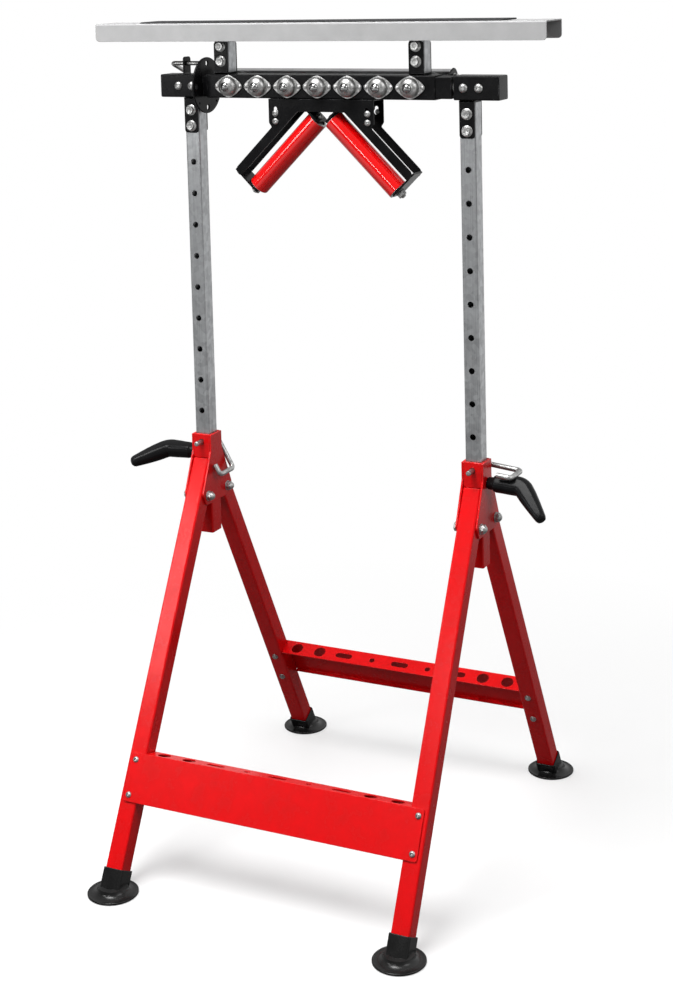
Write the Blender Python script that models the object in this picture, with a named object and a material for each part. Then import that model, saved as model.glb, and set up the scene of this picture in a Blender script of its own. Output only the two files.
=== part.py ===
"""Multi-function roller stand: folding A-frame legs, a height-adjustable mast and a turning head.

The head carries a padded table, a row of ball units, a long roller and a pair of V rollers.
Units are metres, +Z is up, the front of the stand faces -Y, and the origin is on the floor
under the middle of the table.
"""
import math

import bmesh
import bpy
from mathutils import Matrix, Vector

MM = 0.001

# Clearances
FIT = 0.3 * MM            # still pieces that touch
SLIDE_GAP = 0.5 * MM      # a tube or shaft that moves inside another
WELD = 0.2 * MM           # overlap of plates welded into one piece

# Square tube and sheet
POST = 25 * MM
POST_WALL = 1.5 * MM
POST_RADIUS = 2.0 * MM
GUIDE_WALL = 1.5 * MM
LEG_WALL = 1.5 * MM
LEG_RADIUS = 2.5 * MM
BLOCK = 36 * MM
BLOCK_WALL = 2.5 * MM
BLOCK_RADIUS = 2.0 * MM
BEAM = 33 * MM
BEAM_WALL = 2 * MM
PLATE = 3 * MM            # cheeks and straps of the A-frame heads
CLAMP_PLATE = 2.5 * MM
SHEET = 2 * MM            # table and stretchers
CARRIER_SHEET = 1.5 * MM
ROD = 8 * MM              # lock pins, bolts and axles
ROD_HOLE = ROD + 2 * SLIDE_GAP

# Main places
STAND_X = 15 * MM         # middle of the two A-frames, seen from the middle of the table
POST_SPACING = 464 * MM
HEAD_SHIFT = -8.5 * MM    # ball row, seen from the middle of the frames
STUB_SHIFT = -2.8 * MM    # table stubs, seen from the middle of the ball row
V_SHIFT = -4 * MM
ROLLER_SHIFT = 1 * MM
AXIS_Z = 1179.5 * MM      # turning axis of the head

# Posts
POST_BOTTOM = 475 * MM
HOLE_PITCH = 50 * MM
HOLE_COUNT = 12
HOLE = 9.5 * MM
BOLT_Z = (-38 * MM, -63 * MM)     # post clamp bolts, seen from the turning axis
CLAMP_DROP = 74 * MM
CLAMP_WIDTH = 24 * MM

# A-frame heads
GUIDE_BOTTOM = 460 * MM
GUIDE_TOP = 621.5 * MM
STRAP_HEIGHT = 35.5 * MM
CLAMP_SCREW_Z = 588 * MM
LOCK_Z = 609.3 * MM       # lock pin's hole through the straps
LOCK_HOLE = 9             # lock pins sit in this hole of the posts, counted from the top one
PIVOT_Y = 31 * MM
PIVOT_Z = 526.5 * MM
CHEEK = ((17.2 * MM, 621 * MM), (17.2 * MM, 595 * MM), (46 * MM, 530 * MM), (36 * MM, 512 * MM))
CHEEK_RADII = (0.8 * MM, 6 * MM, 6 * MM, 4 * MM)

# Legs and feet
LEG_LINE = (36 * MM, 524 * MM)    # a point of the leg's middle line, beside the pivot bolt
LEG_TOP_GAP = {"front": 3 * MM, "rear": 16 * MM}  # under the straps; the rear one clears the lock pin
FOOT_Y = 318 * MM
FOOT_RADIUS = 38 * MM
FOOT_RIM = 2.5 * MM
FOOT_RISE = 10 * MM
BOOT_WALL = 2.2 * MM
BOOT_TOP = 34 * MM        # along the leg from the floor
LEG_BOTTOM = 17 * MM      # along the leg from the floor

# Stretchers
STRETCHER_TOP = {"front": 177 * MM, "rear": 186 * MM}
STRETCHER_WEB = 69 * MM
STRETCHER_OVER = 8 * MM   # past the middle of each leg
FLANGE = 28 * MM
LIP = 12 * MM
FRONT_OPEN = math.radians(14)
REAR_OPEN = math.radians(2)
BIG_HOLE = 20 * MM
SMALL_HOLE = 9 * MM
SLOT = (30 * MM, 10 * MM)
BIG_AT = (150 * MM, 193 * MM)
SLOT_AT = (0, 104 * MM)
SMALL_AT = (51 * MM,)

# Turning head
BLOCK_LENGTH = 71 * MM
BLOCK_OUT = 52 * MM       # the block's outer end past the post's middle
BEAM_END_WALL = 5 * MM
JOURNAL = 16 * MM
JOURNAL_REACH = 24 * MM
PLUG = 14 * MM
COLLAR = 24 * MM
DISC_RADIUS = 44 * MM
DISC_THICK = 3 * MM
DISC_GAP = 0.7 * MM       # between the disc and the left block
INDEX_RADIUS = 34.5 * MM
INDEX_ROD = 7 * MM
INDEX_HOLES = 4
TAB_OUT = 14 * MM         # the index tab past the post's middle
TAB_WIDTH = 20 * MM
TAB_HEIGHT = 27 * MM
INDEX_BEND_OUT = 41 * MM
CARRIER_INSET = 17 * MM   # mean distance of the ball carrier's ends from the beam's ends

# Ball units
BALL_COUNT = 7
BALL_MARGIN = 39.2 * MM   # first ball's middle from the carrier's end
BALL_RADIUS = 7.5 * MM
BALL_LIFT = 9.6 * MM      # ball centre above the flange's back
BALL_GAP = 0.8 * MM
UNIT_HALF = (24.3 * MM, 17.5 * MM)
UNIT_RISE = 13.8 * MM     # the housing's lip above the flange's back

# Table
TABLE_LENGTH = 754 * MM
TABLE_DEPTH = 68 * MM
TABLE_FLANGE = 28 * MM
TABLE_RISE = 98 * MM      # table top above the turning axis
TABLE_CORNER = 6 * MM
MAT = (607 * MM, 58 * MM, 2 * MM)     # its middle lies over the middle of the ball row
STUB_INSET = 27.5 * MM    # stub's middle from the carrier's end
STUB_PAD = (46 * MM, 50 * MM, 3 * MM)
STUB_CLAMP_HEIGHT = 50.5 * MM
STUB_BOLT_Z = (38.5 * MM, 61.5 * MM)

# Long roller
ROLLER_RADIUS = 14 * MM
ROLLER_Y = 40 * MM
ROLLER_Z = 10.5 * MM      # above the turning axis
ROLLER_INSET = 2 * MM     # roller's span inside the carrier's, at each end
ROLLER_EAR = 15.5 * MM
EAR_PLATE = 2.5 * MM
EAR_FOOT = 30 * MM
EAR_FOOT_HEIGHT = 20 * MM

# V rollers
V_DROP = 37.5 * MM        # meeting point of the two roller axes below the turning axis
V_ANGLE = math.radians(45)
V_RADIUS = 16.3 * MM
V_START = 18.7 * MM
V_LENGTH = 149 * MM
V_HALF_DEPTH = 19 * MM
V_PLATE = 2.5 * MM
V_ARM = 42 * MM           # outer edge of an arm from the roller's axis
V_FRONT_ARM = 27.5 * MM   # inner edge of a front arm from the roller's axis
V_REAR_ARM = 29.4 * MM
V_TAB_LOW = -8 * MM
V_TAB_GAP = 1 * MM
V_TAB = 3 * MM
V_HALF_WIDTH = 88.5 * MM
V_SIDE_DROP = 55.5 * MM   # lower end of the plates' sides below the turning axis
V_NOTCH = 4.5 * MM        # step from the side in to the arm
V_SLOT_Z = 38 * MM        # lower edge of the plates' middle below the turning axis
V_KEYHOLE = (77 * MM, 6 * MM, 31 * MM, 40 * MM)   # across, width, and both ends below the axis
ARM_END_RADIUS = 4 * MM

# Lock pins and clamp levers
PIN_TIP = 34 * MM
PIN_BACK = 30 * MM
PIN_RADIAL = 60 * MM
PIN_FORWARD = 43 * MM
PIN_RETURN = 15 * MM
PIN_TURN = (math.radians(-60), math.radians(-6))
PIN_BEND = 6 * MM
LEVER_HUB = 13 * MM
LEVER_HUB_RADIUS = 7.5 * MM
LEVER_NECK = 60 * MM
LEVER_NECK_RADIUS = 9 * MM
LEVER_ARM = 62 * MM
LEVER_ARM_RADII = (9.2 * MM, 7 * MM)
LEVER_LEAN = math.radians(40)
LEVER_TURN = (math.radians(-71), math.radians(-41))

# Sizes that follow from the ones above
GUIDE_BORE = POST + 2 * SLIDE_GAP
GUIDE = GUIDE_BORE + 2 * GUIDE_WALL
LEG = GUIDE - 2 * FIT
LEG_TILT = math.atan2(FOOT_Y - LEG_LINE[0], LEG_LINE[1])
LEG_LENGTH = math.hypot(FOOT_Y - LEG_LINE[0], LEG_LINE[1])
HOLE_TOP = LOCK_Z + LOCK_HOLE * HOLE_PITCH
POST_X = (STAND_X - POST_SPACING / 2, STAND_X + POST_SPACING / 2)
HEAD_X = STAND_X + HEAD_SHIFT
V_X = STAND_X + V_SHIFT
HALF_BLOCK = BLOCK / 2
HALF_BEAM = BEAM / 2
BLOCK_OUTER_X = POST_SPACING / 2 + BLOCK_OUT
BLOCK_INNER_X = BLOCK_OUTER_X - BLOCK_LENGTH
BEAM_END_X = BLOCK_INNER_X - DISC_GAP - DISC_THICK - FIT
TAB_X = -(POST_SPACING / 2 + TAB_OUT)
INDEX_BEND_X = -(POST_SPACING / 2 + INDEX_BEND_OUT)
CARRIER_LENGTH = 2 * (BEAM_END_X - CARRIER_INSET)
CARRIER_IN = HALF_BEAM + FIT
CARRIER_OUT = CARRIER_IN + CARRIER_SHEET
BALL_PITCH = (CARRIER_LENGTH - 2 * BALL_MARGIN) / (BALL_COUNT - 1)
STUB_SPREAD = CARRIER_LENGTH - 2 * STUB_INSET
ROLLER_SPAN = CARRIER_LENGTH - 2 * ROLLER_INSET
STRETCHER_LENGTH = POST_SPACING + 2 * STRETCHER_OVER
CLAMP_IN = POST / 2 + FIT
TABLE_TOP = AXIS_Z + TABLE_RISE
SIDES = ("left", "right")


def clear_scene():
    for obj in list(bpy.data.objects):
        bpy.data.objects.remove(obj, do_unlink=True)


def material(name, colour, roughness, metallic=0.0, coat=0.0):
    mat = bpy.data.materials.new(name)
    mat.use_nodes = True
    shader = mat.node_tree.nodes["Principled BSDF"]
    shader.inputs["Base Color"].default_value = (*colour, 1)
    shader.inputs["Roughness"].default_value = roughness
    shader.inputs["Metallic"].default_value = metallic
    shader.inputs["Coat Weight"].default_value = coat
    mat.diffuse_color = (*colour, 1)
    return mat


def link(name, data, mat, location=(0, 0, 0)):
    obj = bpy.data.objects.new(name, data)
    bpy.context.scene.collection.objects.link(obj)
    obj.location = location
    data.materials.append(mat)
    return obj


def finish(name, bm, mat, location=(0, 0, 0), smooth=True):
    bmesh.ops.recalc_face_normals(bm, faces=bm.faces)
    mesh = bpy.data.meshes.new(name)
    bm.to_mesh(mesh)
    bm.free()
    if smooth:
        mesh.shade_smooth()
        mesh.set_sharp_from_angle(angle=math.radians(32))
    return link(name, mesh, mat, location)


def helper(obj):
    """Hides a cutter or a piece that a Boolean adds to another one."""
    obj.hide_render = True
    obj.display_type = "WIRE"
    return obj


def attach(child, parent):
    """Parents one object to another without moving it."""
    child.parent = parent
    child.matrix_parent_inverse = parent.matrix_basis.inverted()


def boolean(obj, operation, others):
    for other in others:
        helper(other)
        attach(other, obj)
        mod = obj.modifiers.new(operation.lower(), "BOOLEAN")
        mod.operation = operation
        mod.solver = "EXACT"
        mod.object = other
    return obj


def fillet(points, radius, steps=3, closed=True):
    """Rounds the corners of a 2D or 3D outline; radius is one value or one for each corner."""
    pts = [Vector(p) for p in points]
    count = len(pts)
    out = []
    for i, here in enumerate(pts):
        r = radius[i] if isinstance(radius, (list, tuple)) else radius
        if r <= 0 or (not closed and i in (0, count - 1)):
            out.append(here)
            continue
        a = (pts[i - 1] - here).normalized()
        b = (pts[(i + 1) % count] - here).normalized()
        half = a.angle(b) / 2
        reach = r / math.tan(half)
        centre = here + (a + b).normalized() * (r / math.sin(half))
        start = here + a * reach - centre
        end = here + b * reach - centre
        sweep = math.pi - 2 * half
        for k in range(steps + 1):
            t = k / steps
            w0 = math.sin((1 - t) * sweep) / math.sin(sweep)
            w1 = math.sin(t * sweep) / math.sin(sweep)
            out.append(centre + start * w0 + end * w1)
    return out


def place(axes, u, v, w):
    """Turns section coordinates u, v and a height w into a point; axes names them, as in 'yzx'."""
    point = Vector((0, 0, 0))
    for letter, value in zip(axes, (u, v, w)):
        point["xyz".index(letter)] = value
    return point


def slab(outline, axes, low, high):
    """A prism over a 2D outline."""
    bm = bmesh.new()
    face = bm.faces.new([bm.verts.new(place(axes, p[0], p[1], low)) for p in outline])
    made = bmesh.ops.extrude_face_region(bm, geom=[face])["geom"]
    shift = place(axes, 0, 0, high - low)
    bmesh.ops.translate(bm, vec=shift, verts=[g for g in made if isinstance(g, bmesh.types.BMVert)])
    return bm


def rectangle(a0, a1, b0, b1):
    return [(a0, b0), (a1, b0), (a1, b1), (a0, b1)]


def block(name, x, y, z, mat):
    return finish(name, slab(rectangle(*x, *y), "xyz", *z), mat, smooth=False)


def square_outline(size, radius, steps=2):
    h = size / 2
    return fillet([(-h, -h), (h, -h), (h, h), (-h, h)], radius, steps)


def square_tube(size, wall, radius, axes, low, high, closed_low=0.0, closed_high=0.0):
    """A square tube; closed_low and closed_high are the thickness of an end wall, or 0."""
    bm = bmesh.new()
    outer = square_outline(size, radius)
    inner = square_outline(size - 2 * wall, max(radius - wall, 0.4 * MM))
    stations = (
        (outer, low),
        (outer, high),
        (inner, high - closed_high),
        (inner, low + closed_low),
    )
    rings = []
    for outline, level in stations:
        rings.append([bm.verts.new(place(axes, p.x, p.y, level)) for p in outline])
    count = len(outer)

    def bridge(a, b):
        for i in range(count):
            j = (i + 1) % count
            bm.faces.new((a[i], a[j], b[j], b[i]))

    bridge(rings[0], rings[1])
    bridge(rings[2], rings[3])
    if closed_high:
        bm.faces.new(rings[1])
        bm.faces.new(rings[2])
    else:
        bridge(rings[1], rings[2])
    if closed_low:
        bm.faces.new(rings[0])
        bm.faces.new(rings[3])
    else:
        bridge(rings[3], rings[0])
    return bm


def bent_sheet(path, thickness, axes, low, high, bend=0.0, corner=0.0):
    """Sheet metal bent along a 2D path and cut to a width, with its free corners rounded."""
    line = [Vector(p) for p in path]
    ends = (line[0].copy(), line[-1].copy())
    if bend:
        line = fillet(line, bend, 3, closed=False)
    left, right = [], []
    for i, here in enumerate(line):
        before = (here - line[i - 1]).normalized() if i else None
        after = (line[i + 1] - here).normalized() if i < len(line) - 1 else None
        along = (before or after) + (after or before)
        along.normalize()
        normal = Vector((-along.y, along.x))
        square = Vector((-(after or before).y, (after or before).x))
        reach = thickness / 2 / normal.dot(square)
        left.append(here + normal * reach)
        right.append(here - normal * reach)
    outline = left + right[::-1]
    bm = bmesh.new()
    count = len(outline)
    rows = [[bm.verts.new(place(axes, p.x, p.y, w)) for p in outline] for w in (low, high)]
    for i in range(count):
        j = (i + 1) % count
        bm.faces.new((rows[0][i], rows[0][j], rows[1][j], rows[1][i]))
    n = len(line)
    for row in rows:
        for i in range(n - 1):
            bm.faces.new((row[i], row[i + 1], row[count - 2 - i], row[count - 1 - i]))
    if corner:
        u, v = "xyz".index(axes[0]), "xyz".index(axes[1])
        edges = []
        for edge in bm.edges:
            a, b = edge.verts
            same = abs((a.co - b.co).length - thickness) < 1e-7
            mid = (a.co + b.co) / 2
            flat = Vector((mid[u], mid[v]))
            if same and min((flat - e).length for e in ends) < thickness / 4:
                edges.append(edge)
        bmesh.ops.bevel(bm, geom=edges, offset=corner, segments=3, affect="EDGES", profile=0.5)
    return bm


def turned(stations, axes, segments=24):
    """A body turned about the third axis.

    A station is (height, radius) or (height, radius, shape), where shape gives the radius
    at an angle. A radius of 0 closes the body in a point.
    """
    bm = bmesh.new()
    rings = []
    for station in stations:
        height, radius = station[:2]
        shape = station[2] if len(station) > 2 else None
        if radius == 0:
            rings.append([bm.verts.new(place(axes, 0, 0, height))])
            continue
        ring = []
        for i in range(segments):
            angle = 2 * math.pi * i / segments
            r = shape(angle) if shape else radius
            ring.append(bm.verts.new(place(axes, r * math.cos(angle), r * math.sin(angle), height)))
        rings.append(ring)
    for a, b in zip(rings, rings[1:]):
        for i in range(segments):
            j = (i + 1) % segments
            corners = [a[i % len(a)], a[j % len(a)], b[j % len(b)], b[i % len(b)]]
            unique = list(dict.fromkeys(corners))
            if len(unique) > 2:
                bm.faces.new(unique)
    if len(rings[0]) > 1 and len(rings[-1]) > 1 and stations[0][:2] == stations[-1][:2]:
        bmesh.ops.remove_doubles(bm, verts=rings[0] + rings[-1], dist=1e-7)
    else:
        for ring in (rings[0], rings[-1]):
            if len(ring) > 1:
                bm.faces.new(ring)
    return bm


def hexagon(flats):
    """Radius of a hexagon at an angle, for its size across the flats."""
    def shape(angle):
        return flats / 2 / math.cos(angle % (math.pi / 3) - math.pi / 6)
    return shape


def rod_cutter(name, diameter, axes, spots, low, high, mat, segments=10):
    """Round cutters side by side, at the named spots of a section."""
    bm = bmesh.new()
    for u, v in spots:
        one = turned([(low, diameter / 2), (high, diameter / 2)], axes, segments)
        bmesh.ops.translate(one, vec=place(axes, u, v, 0), verts=one.verts)
        mesh = bpy.data.meshes.new(name)
        one.to_mesh(mesh)
        one.free()
        bm.from_mesh(mesh)
        bpy.data.meshes.remove(mesh)
    return finish(name, bm, mat)


def bolt_stations(grip_low, grip_high, domed):
    """Shank with a hexagon head below the grip and a nut above it, locking or domed."""
    head = 5.3 * MM
    nut = 6.8 * MM
    wide = hexagon(13 * MM)
    shank = ROD / 2
    top = grip_high + nut
    end = [(top, shank), (top + 2 * MM, shank)]
    if domed:
        end = [(top + 3 * MM, 4.6 * MM), (top + 4.6 * MM, 2 * MM)]
    return [
        (grip_low - head, 6.5 * MM, wide),
        (grip_low, 6.5 * MM, wide),
        (grip_low, shank),
        (grip_high, shank),
        (grip_high, 6.5 * MM, wide),
        (top, 6.5 * MM, wide),
    ] + end


def bent_rod(name, points, diameter, bend, mat):
    """A round rod bent along a route."""
    curve = bpy.data.curves.new(name, "CURVE")
    curve.dimensions = "3D"
    curve.bevel_depth = diameter / 2
    curve.bevel_resolution = 2
    curve.use_fill_caps = True
    route = fillet(points, bend, 3, closed=False)
    spline = curve.splines.new("POLY")
    spline.points.add(len(route) - 1)
    for point, spot in zip(spline.points, route):
        point.co = (*spot, 1)
    return link(name, curve, mat)


def a_frame_head(side, x, mats):
    """Guide tube with two cheeks and two straps, welded into one piece."""
    outer = -1 if side == "left" else 1
    red = mats["red"]
    half = GUIDE / 2
    name = f"{side}_frame_head"
    body = block(name, (x - half - WELD, x + half + WELD), (-half, half), (GUIDE_BOTTOM, GUIDE_TOP), red)
    points = [(y, z) for y, z in CHEEK] + [(-y, z) for y, z in reversed(CHEEK)]
    adds = []
    for k, low in enumerate((x - half - PLATE, x + half)):
        bm = slab(fillet(points, [*CHEEK_RADII, *reversed(CHEEK_RADII)]), "yzx", low, low + PLATE)
        adds.append(finish(f"{name}_cheek_{k}", bm, red))
    for k, low in enumerate((-half - PLATE, half - WELD)):
        strap_z = (GUIDE_TOP - STRAP_HEIGHT, GUIDE_TOP - WELD)
        strap = block(f"{name}_strap_{k}", (x - half, x + half), (low, low + PLATE + WELD), strap_z, red)
        adds.append(strap)
    boolean(body, "UNION", adds)
    bore = GUIDE_BORE / 2
    bore_cut = block(
        f"{name}_bore",
        (x - bore, x + bore),
        (-bore, bore),
        (GUIDE_BOTTOM - PLATE, GUIDE_TOP + PLATE),
        red,
    )
    pin_cut = rod_cutter(f"{name}_pin_hole", ROD_HOLE, "xzy", [(x, LOCK_Z)], -GUIDE, GUIDE, red)
    wall = x + outer * bore
    screw_low, screw_high = sorted((wall - outer * PLATE / 2, wall + outer * (PLATE + GUIDE)))
    screw_cut = rod_cutter(
        f"{name}_screw_hole", ROD_HOLE, "yzx", [(0, CLAMP_SCREW_Z)], screw_low, screw_high, red
    )
    pivots = [(-PIVOT_Y, PIVOT_Z), (PIVOT_Y, PIVOT_Z)]
    pivot_cut = rod_cutter(f"{name}_pivot_holes", ROD_HOLE, "yzx", pivots, x - GUIDE, x + GUIDE, red)
    return boolean(body, "DIFFERENCE", [bore_cut, pin_cut, screw_cut, pivot_cut])


def leg(side, end, x, mats):
    """A square-tube leg on its pivot, cut upright at the top where it stops on the guide tube."""
    out = -1 if end == "front" else 1
    name = f"{end}_{side}_leg"
    reach = (PIVOT_Z - GUIDE_BOTTOM) * 1.2
    bm = square_tube(LEG, LEG_WALL, LEG_RADIUS, "xyz", LEG_BOTTOM - LEG_LENGTH, reach)
    turn = Matrix.Rotation(out * LEG_TILT, 4, "X")
    offset = Matrix.Translation((0, out * (LEG_LINE[0] - PIVOT_Y), LEG_LINE[1] - PIVOT_Z))
    bmesh.ops.transform(bm, matrix=offset @ turn, verts=bm.verts)
    body = finish(name, bm, mats["red"], (x, out * PIVOT_Y, PIVOT_Z))
    top = GUIDE_TOP - STRAP_HEIGHT - LEG_TOP_GAP[end]
    stop = GUIDE / 2 + FIT
    wide = (x - LEG, x + LEG)
    low, high = sorted((out * stop, -out * LEG_LENGTH))
    upright = block(f"{name}_stop_cut", wide, (low, high), (PIVOT_Z - reach, GUIDE_TOP + reach), mats["red"])
    level = block(f"{name}_top_cut", wide, (-4 * LEG, 4 * LEG), (top, GUIDE_TOP + reach), mats["red"])
    hole = rod_cutter(
        f"{name}_pivot_hole", ROD_HOLE, "yzx", [(out * PIVOT_Y, PIVOT_Z)], x - LEG, x + LEG, mats["red"]
    )
    return boolean(body, "DIFFERENCE", [upright, level, hole])


def foot(side, end, x, mats):
    """A rubber boot on the leg's end with a round base that lies flat on the floor."""
    out = -1 if end == "front" else 1
    name = f"{end}_{side}_foot"
    rubber = mats["rubber"]
    r = FOOT_RADIUS
    cone = FOOT_RISE - FOOT_RIM
    base = turned(
        [
            (0, r - 1 * MM),
            (1 * MM, r),
            (FOOT_RIM, r),
            (FOOT_RIM + cone * 0.25, r * 0.86),
            (FOOT_RIM + cone * 0.6, r * 0.66),
            (FOOT_RISE, r * 0.5),
        ],
        "xyz",
        24,
    )
    body = finish(name, base, rubber, (x, out * FOOT_Y, 0))
    along = Vector((0, -out * math.sin(LEG_TILT), math.cos(LEG_TILT)))
    across = Vector((0, out * math.cos(LEG_TILT), math.sin(LEG_TILT)))
    floor = Vector((x, out * FOOT_Y, 0))

    def leaning(label, size, level, start, stop):
        """A leaning square prism; its foot is level at a height, or square at a distance."""
        bm = bmesh.new()
        h = size / 2
        rings = []
        for where in ("low", "high"):
            ring = []
            for a, b in ((-h, -h), (h, -h), (h, h), (-h, h)):
                spot = floor + Vector((a, 0, 0)) + across * b
                reach = stop
                if where == "low":
                    reach = (level - spot.z) / along.z if start is None else start
                ring.append(bm.verts.new(spot + along * reach))
            rings.append(ring)
        for i in range(4):
            j = (i + 1) % 4
            bm.faces.new((rings[0][i], rings[0][j], rings[1][j], rings[1][i]))
        bm.faces.new(rings[0])
        bm.faces.new(rings[1])
        return finish(label, bm, rubber, smooth=False)

    pocket = LEG + 2 * FIT
    socket = leaning(f"{name}_socket", pocket + 2 * BOOT_WALL, FOOT_RIM, None, BOOT_TOP)
    room = leaning(f"{name}_room", pocket, 0, LEG_BOTTOM - FIT, BOOT_TOP + BOOT_WALL)
    boolean(body, "UNION", [socket])
    return boolean(body, "DIFFERENCE", [room])


def stretcher(end, mats):
    """A folded channel across two legs: web on the legs' outer face, flange with tool holes."""
    out = -1 if end == "front" else 1
    opening = FRONT_OPEN if end == "front" else REAR_OPEN
    red = mats["red"]
    name = f"{end}_stretcher"
    web = LEG / 2 + FIT + SHEET / 2
    top = 0.0
    bottom = -STRETCHER_WEB
    rise = FLANGE * math.sin(opening)
    depth = FLANGE * math.cos(opening)
    path = [(web - depth, top + rise), (web, top), (web, bottom), (web - LIP, bottom)]
    half = POST_SPACING / 2 - LEG / 2 - FIT
    bm = bent_sheet(path, SHEET, "yzx", -half, half)
    for sign in (-1, 1):
        caps = [
            f for f in bm.faces
            if all(abs(v.co.x - sign * half) < 1e-6 for v in f.verts)
            and all(v.co.y > web - SHEET for v in f.verts)
        ]
        made = bmesh.ops.extrude_face_region(bm, geom=caps)["geom"]
        moved = [g for g in made if isinstance(g, bmesh.types.BMVert)]
        bmesh.ops.translate(bm, vec=(sign * (STRETCHER_LENGTH / 2 - half), 0, 0), verts=moved)
        bmesh.ops.delete(bm, geom=[f for f in caps if f.is_valid], context="FACES")
    if out < 0:
        bmesh.ops.scale(bm, vec=(1, -1, 1), verts=bm.verts)
    along = (STRETCHER_TOP[end] - SHEET) / math.cos(LEG_TILT)
    frame = Matrix.Translation((STAND_X, out * FOOT_Y, 0)) @ Matrix.Rotation(out * LEG_TILT, 4, "X")
    frame = frame @ Matrix.Translation((0, 0, along))
    bmesh.ops.transform(bm, matrix=frame, verts=bm.verts)
    body = finish(name, bm, red)

    middle = Matrix.Translation((0, out * (web - depth / 2), top + rise / 2))
    hinge = frame @ middle @ Matrix.Rotation(-out * opening, 4, "X")
    cuts = []
    reach = 6 * SHEET
    for label, spots, size in (("big", BIG_AT, BIG_HOLE), ("small", SMALL_AT, SMALL_HOLE)):
        both = [(s * a, 0) for a in spots for s in (-1, 1)]
        cut = rod_cutter(f"{name}_{label}_holes", size, "xyz", both, -reach, reach, red)
        cut.data.transform(hinge)
        cuts.append(cut)
    length, width = SLOT
    for k, a in enumerate(sorted({s * a for a in SLOT_AT for s in (-1, 1)})):
        outline = fillet(rectangle(a - length / 2, a + length / 2, -width / 2, width / 2), width * 0.49, 3)
        cut = finish(f"{name}_slot_{k}", slab(outline, "xyz", -reach, reach), red)
        cut.data.transform(hinge)
        cuts.append(cut)
    return boolean(body, "DIFFERENCE", cuts)


def post(side, x, mats):
    """Galvanised square post with lock holes through its front and back."""
    top = AXIS_Z - HALF_BLOCK - CLAMP_PLATE - 2 * FIT
    bm = square_tube(POST, POST_WALL, POST_RADIUS, "xyz", POST_BOTTOM, top)
    bmesh.ops.translate(bm, vec=(x, 0, 0), verts=bm.verts)
    body = finish(f"{side}_post", bm, mats["galvanised"])
    spots = [(x, HOLE_TOP - k * HOLE_PITCH) for k in range(HOLE_COUNT)]
    locks = rod_cutter(f"{side}_post_lock_holes", HOLE, "xzy", spots, -POST, POST, mats["galvanised"], 8)
    spots = [(x, AXIS_Z + z) for z in BOLT_Z]
    bolts = rod_cutter(f"{side}_post_bolt_holes", ROD_HOLE, "xzy", spots, -POST, POST, mats["galvanised"], 8)
    return boolean(body, "DIFFERENCE", [locks, bolts])


def clamp_bracket(name, x, base, tip, bolts, mats):
    """A U bracket whose two plates hold a square tube with two through bolts."""
    black = mats["black"]
    way = 1 if tip > base else -1
    mid = CLAMP_IN + CLAMP_PLATE / 2
    line = base + way * CLAMP_PLATE / 2
    path = [(-mid, tip), (-mid, line), (mid, line), (mid, tip)]
    bm = bent_sheet(path, CLAMP_PLATE, "yzx", x - CLAMP_WIDTH / 2, x + CLAMP_WIDTH / 2, 0, 5 * MM)
    body = finish(name, bm, black)
    face = CLAMP_IN + CLAMP_PLATE - WELD
    adds = []
    for k, z in enumerate(bolts):
        one = turned(bolt_stations(-face, face, False), "zxy", 12)
        adds.append(finish(f"{name}_bolt_{k}", one, mats["zinc"], (x, 0, z)))
    return boolean(body, "UNION", adds)


def end_block(side, mats):
    """Square block on the post, closed outside; the left one carries the index tab."""
    out = -1 if side == "left" else 1
    black = mats["black"]
    low, high = sorted((out * BLOCK_INNER_X, out * BLOCK_OUTER_X))
    closed = (BLOCK_WALL, 0) if side == "left" else (0, BLOCK_WALL)
    bm = square_tube(BLOCK, BLOCK_WALL, BLOCK_RADIUS, "yzx", low, high, *closed)
    bmesh.ops.translate(bm, vec=(STAND_X, 0, AXIS_Z), verts=bm.verts)
    body = finish(f"{side}_end_block", bm, black)
    if side == "right":
        return body
    half = TAB_WIDTH / 2
    foot_z = HALF_BLOCK - 2 * WELD
    top = HALF_BLOCK + TAB_HEIGHT
    outline = fillet(
        [(-half, foot_z), (half, foot_z), (half, top), (-half, top)], [0, 0, 5 * MM, 5 * MM]
    )
    tab = finish("index_tab", slab(outline, "yzx", TAB_X - PLATE / 2, TAB_X + PLATE / 2), black)
    tab.location = (STAND_X, 0, AXIS_Z)
    boolean(body, "UNION", [tab])
    hole = rod_cutter(
        "index_tab_hole",
        INDEX_ROD + 2 * FIT,
        "yzx",
        [(0, INDEX_RADIUS)],
        TAB_X - 2 * PLATE,
        TAB_X + 2 * PLATE,
        black,
    )
    hole.location = (STAND_X, 0, AXIS_Z)
    return boolean(body, "DIFFERENCE", [hole])


def journal(side, mats):
    """Shaft that the head turns on, fixed in the end block by its square plug."""
    out = -1 if side == "left" else 1
    plug = square_outline(BLOCK - 2 * BLOCK_WALL - 2 * FIT, 0.6 * MM)
    inner = out * (BLOCK_INNER_X + FIT)
    low, high = sorted((inner, inner + out * PLUG))
    body = finish(f"{side}_journal", slab(plug, "yzx", low, high), mats["zinc"])
    body.location = (STAND_X, 0, AXIS_Z)
    end = out * (BEAM_END_X - JOURNAL_REACH)
    stations = [(inner + out * PLUG / 2, JOURNAL / 2)]
    if side == "right":
        face = out * (BEAM_END_X + FIT)
        rim = out * (BLOCK_INNER_X - FIT)
        stations += [(rim, JOURNAL / 2), (rim, COLLAR / 2), (face, COLLAR / 2), (face, JOURNAL / 2)]
    stations += [(end + out * 1 * MM, JOURNAL / 2), (end, JOURNAL / 2 - 1 * MM)]
    shaft = finish(f"{side}_journal_shaft", turned(stations, "yzx", 16), mats["zinc"])
    shaft.location = (STAND_X, 0, AXIS_Z)
    return boolean(body, "UNION", [shaft])


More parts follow.
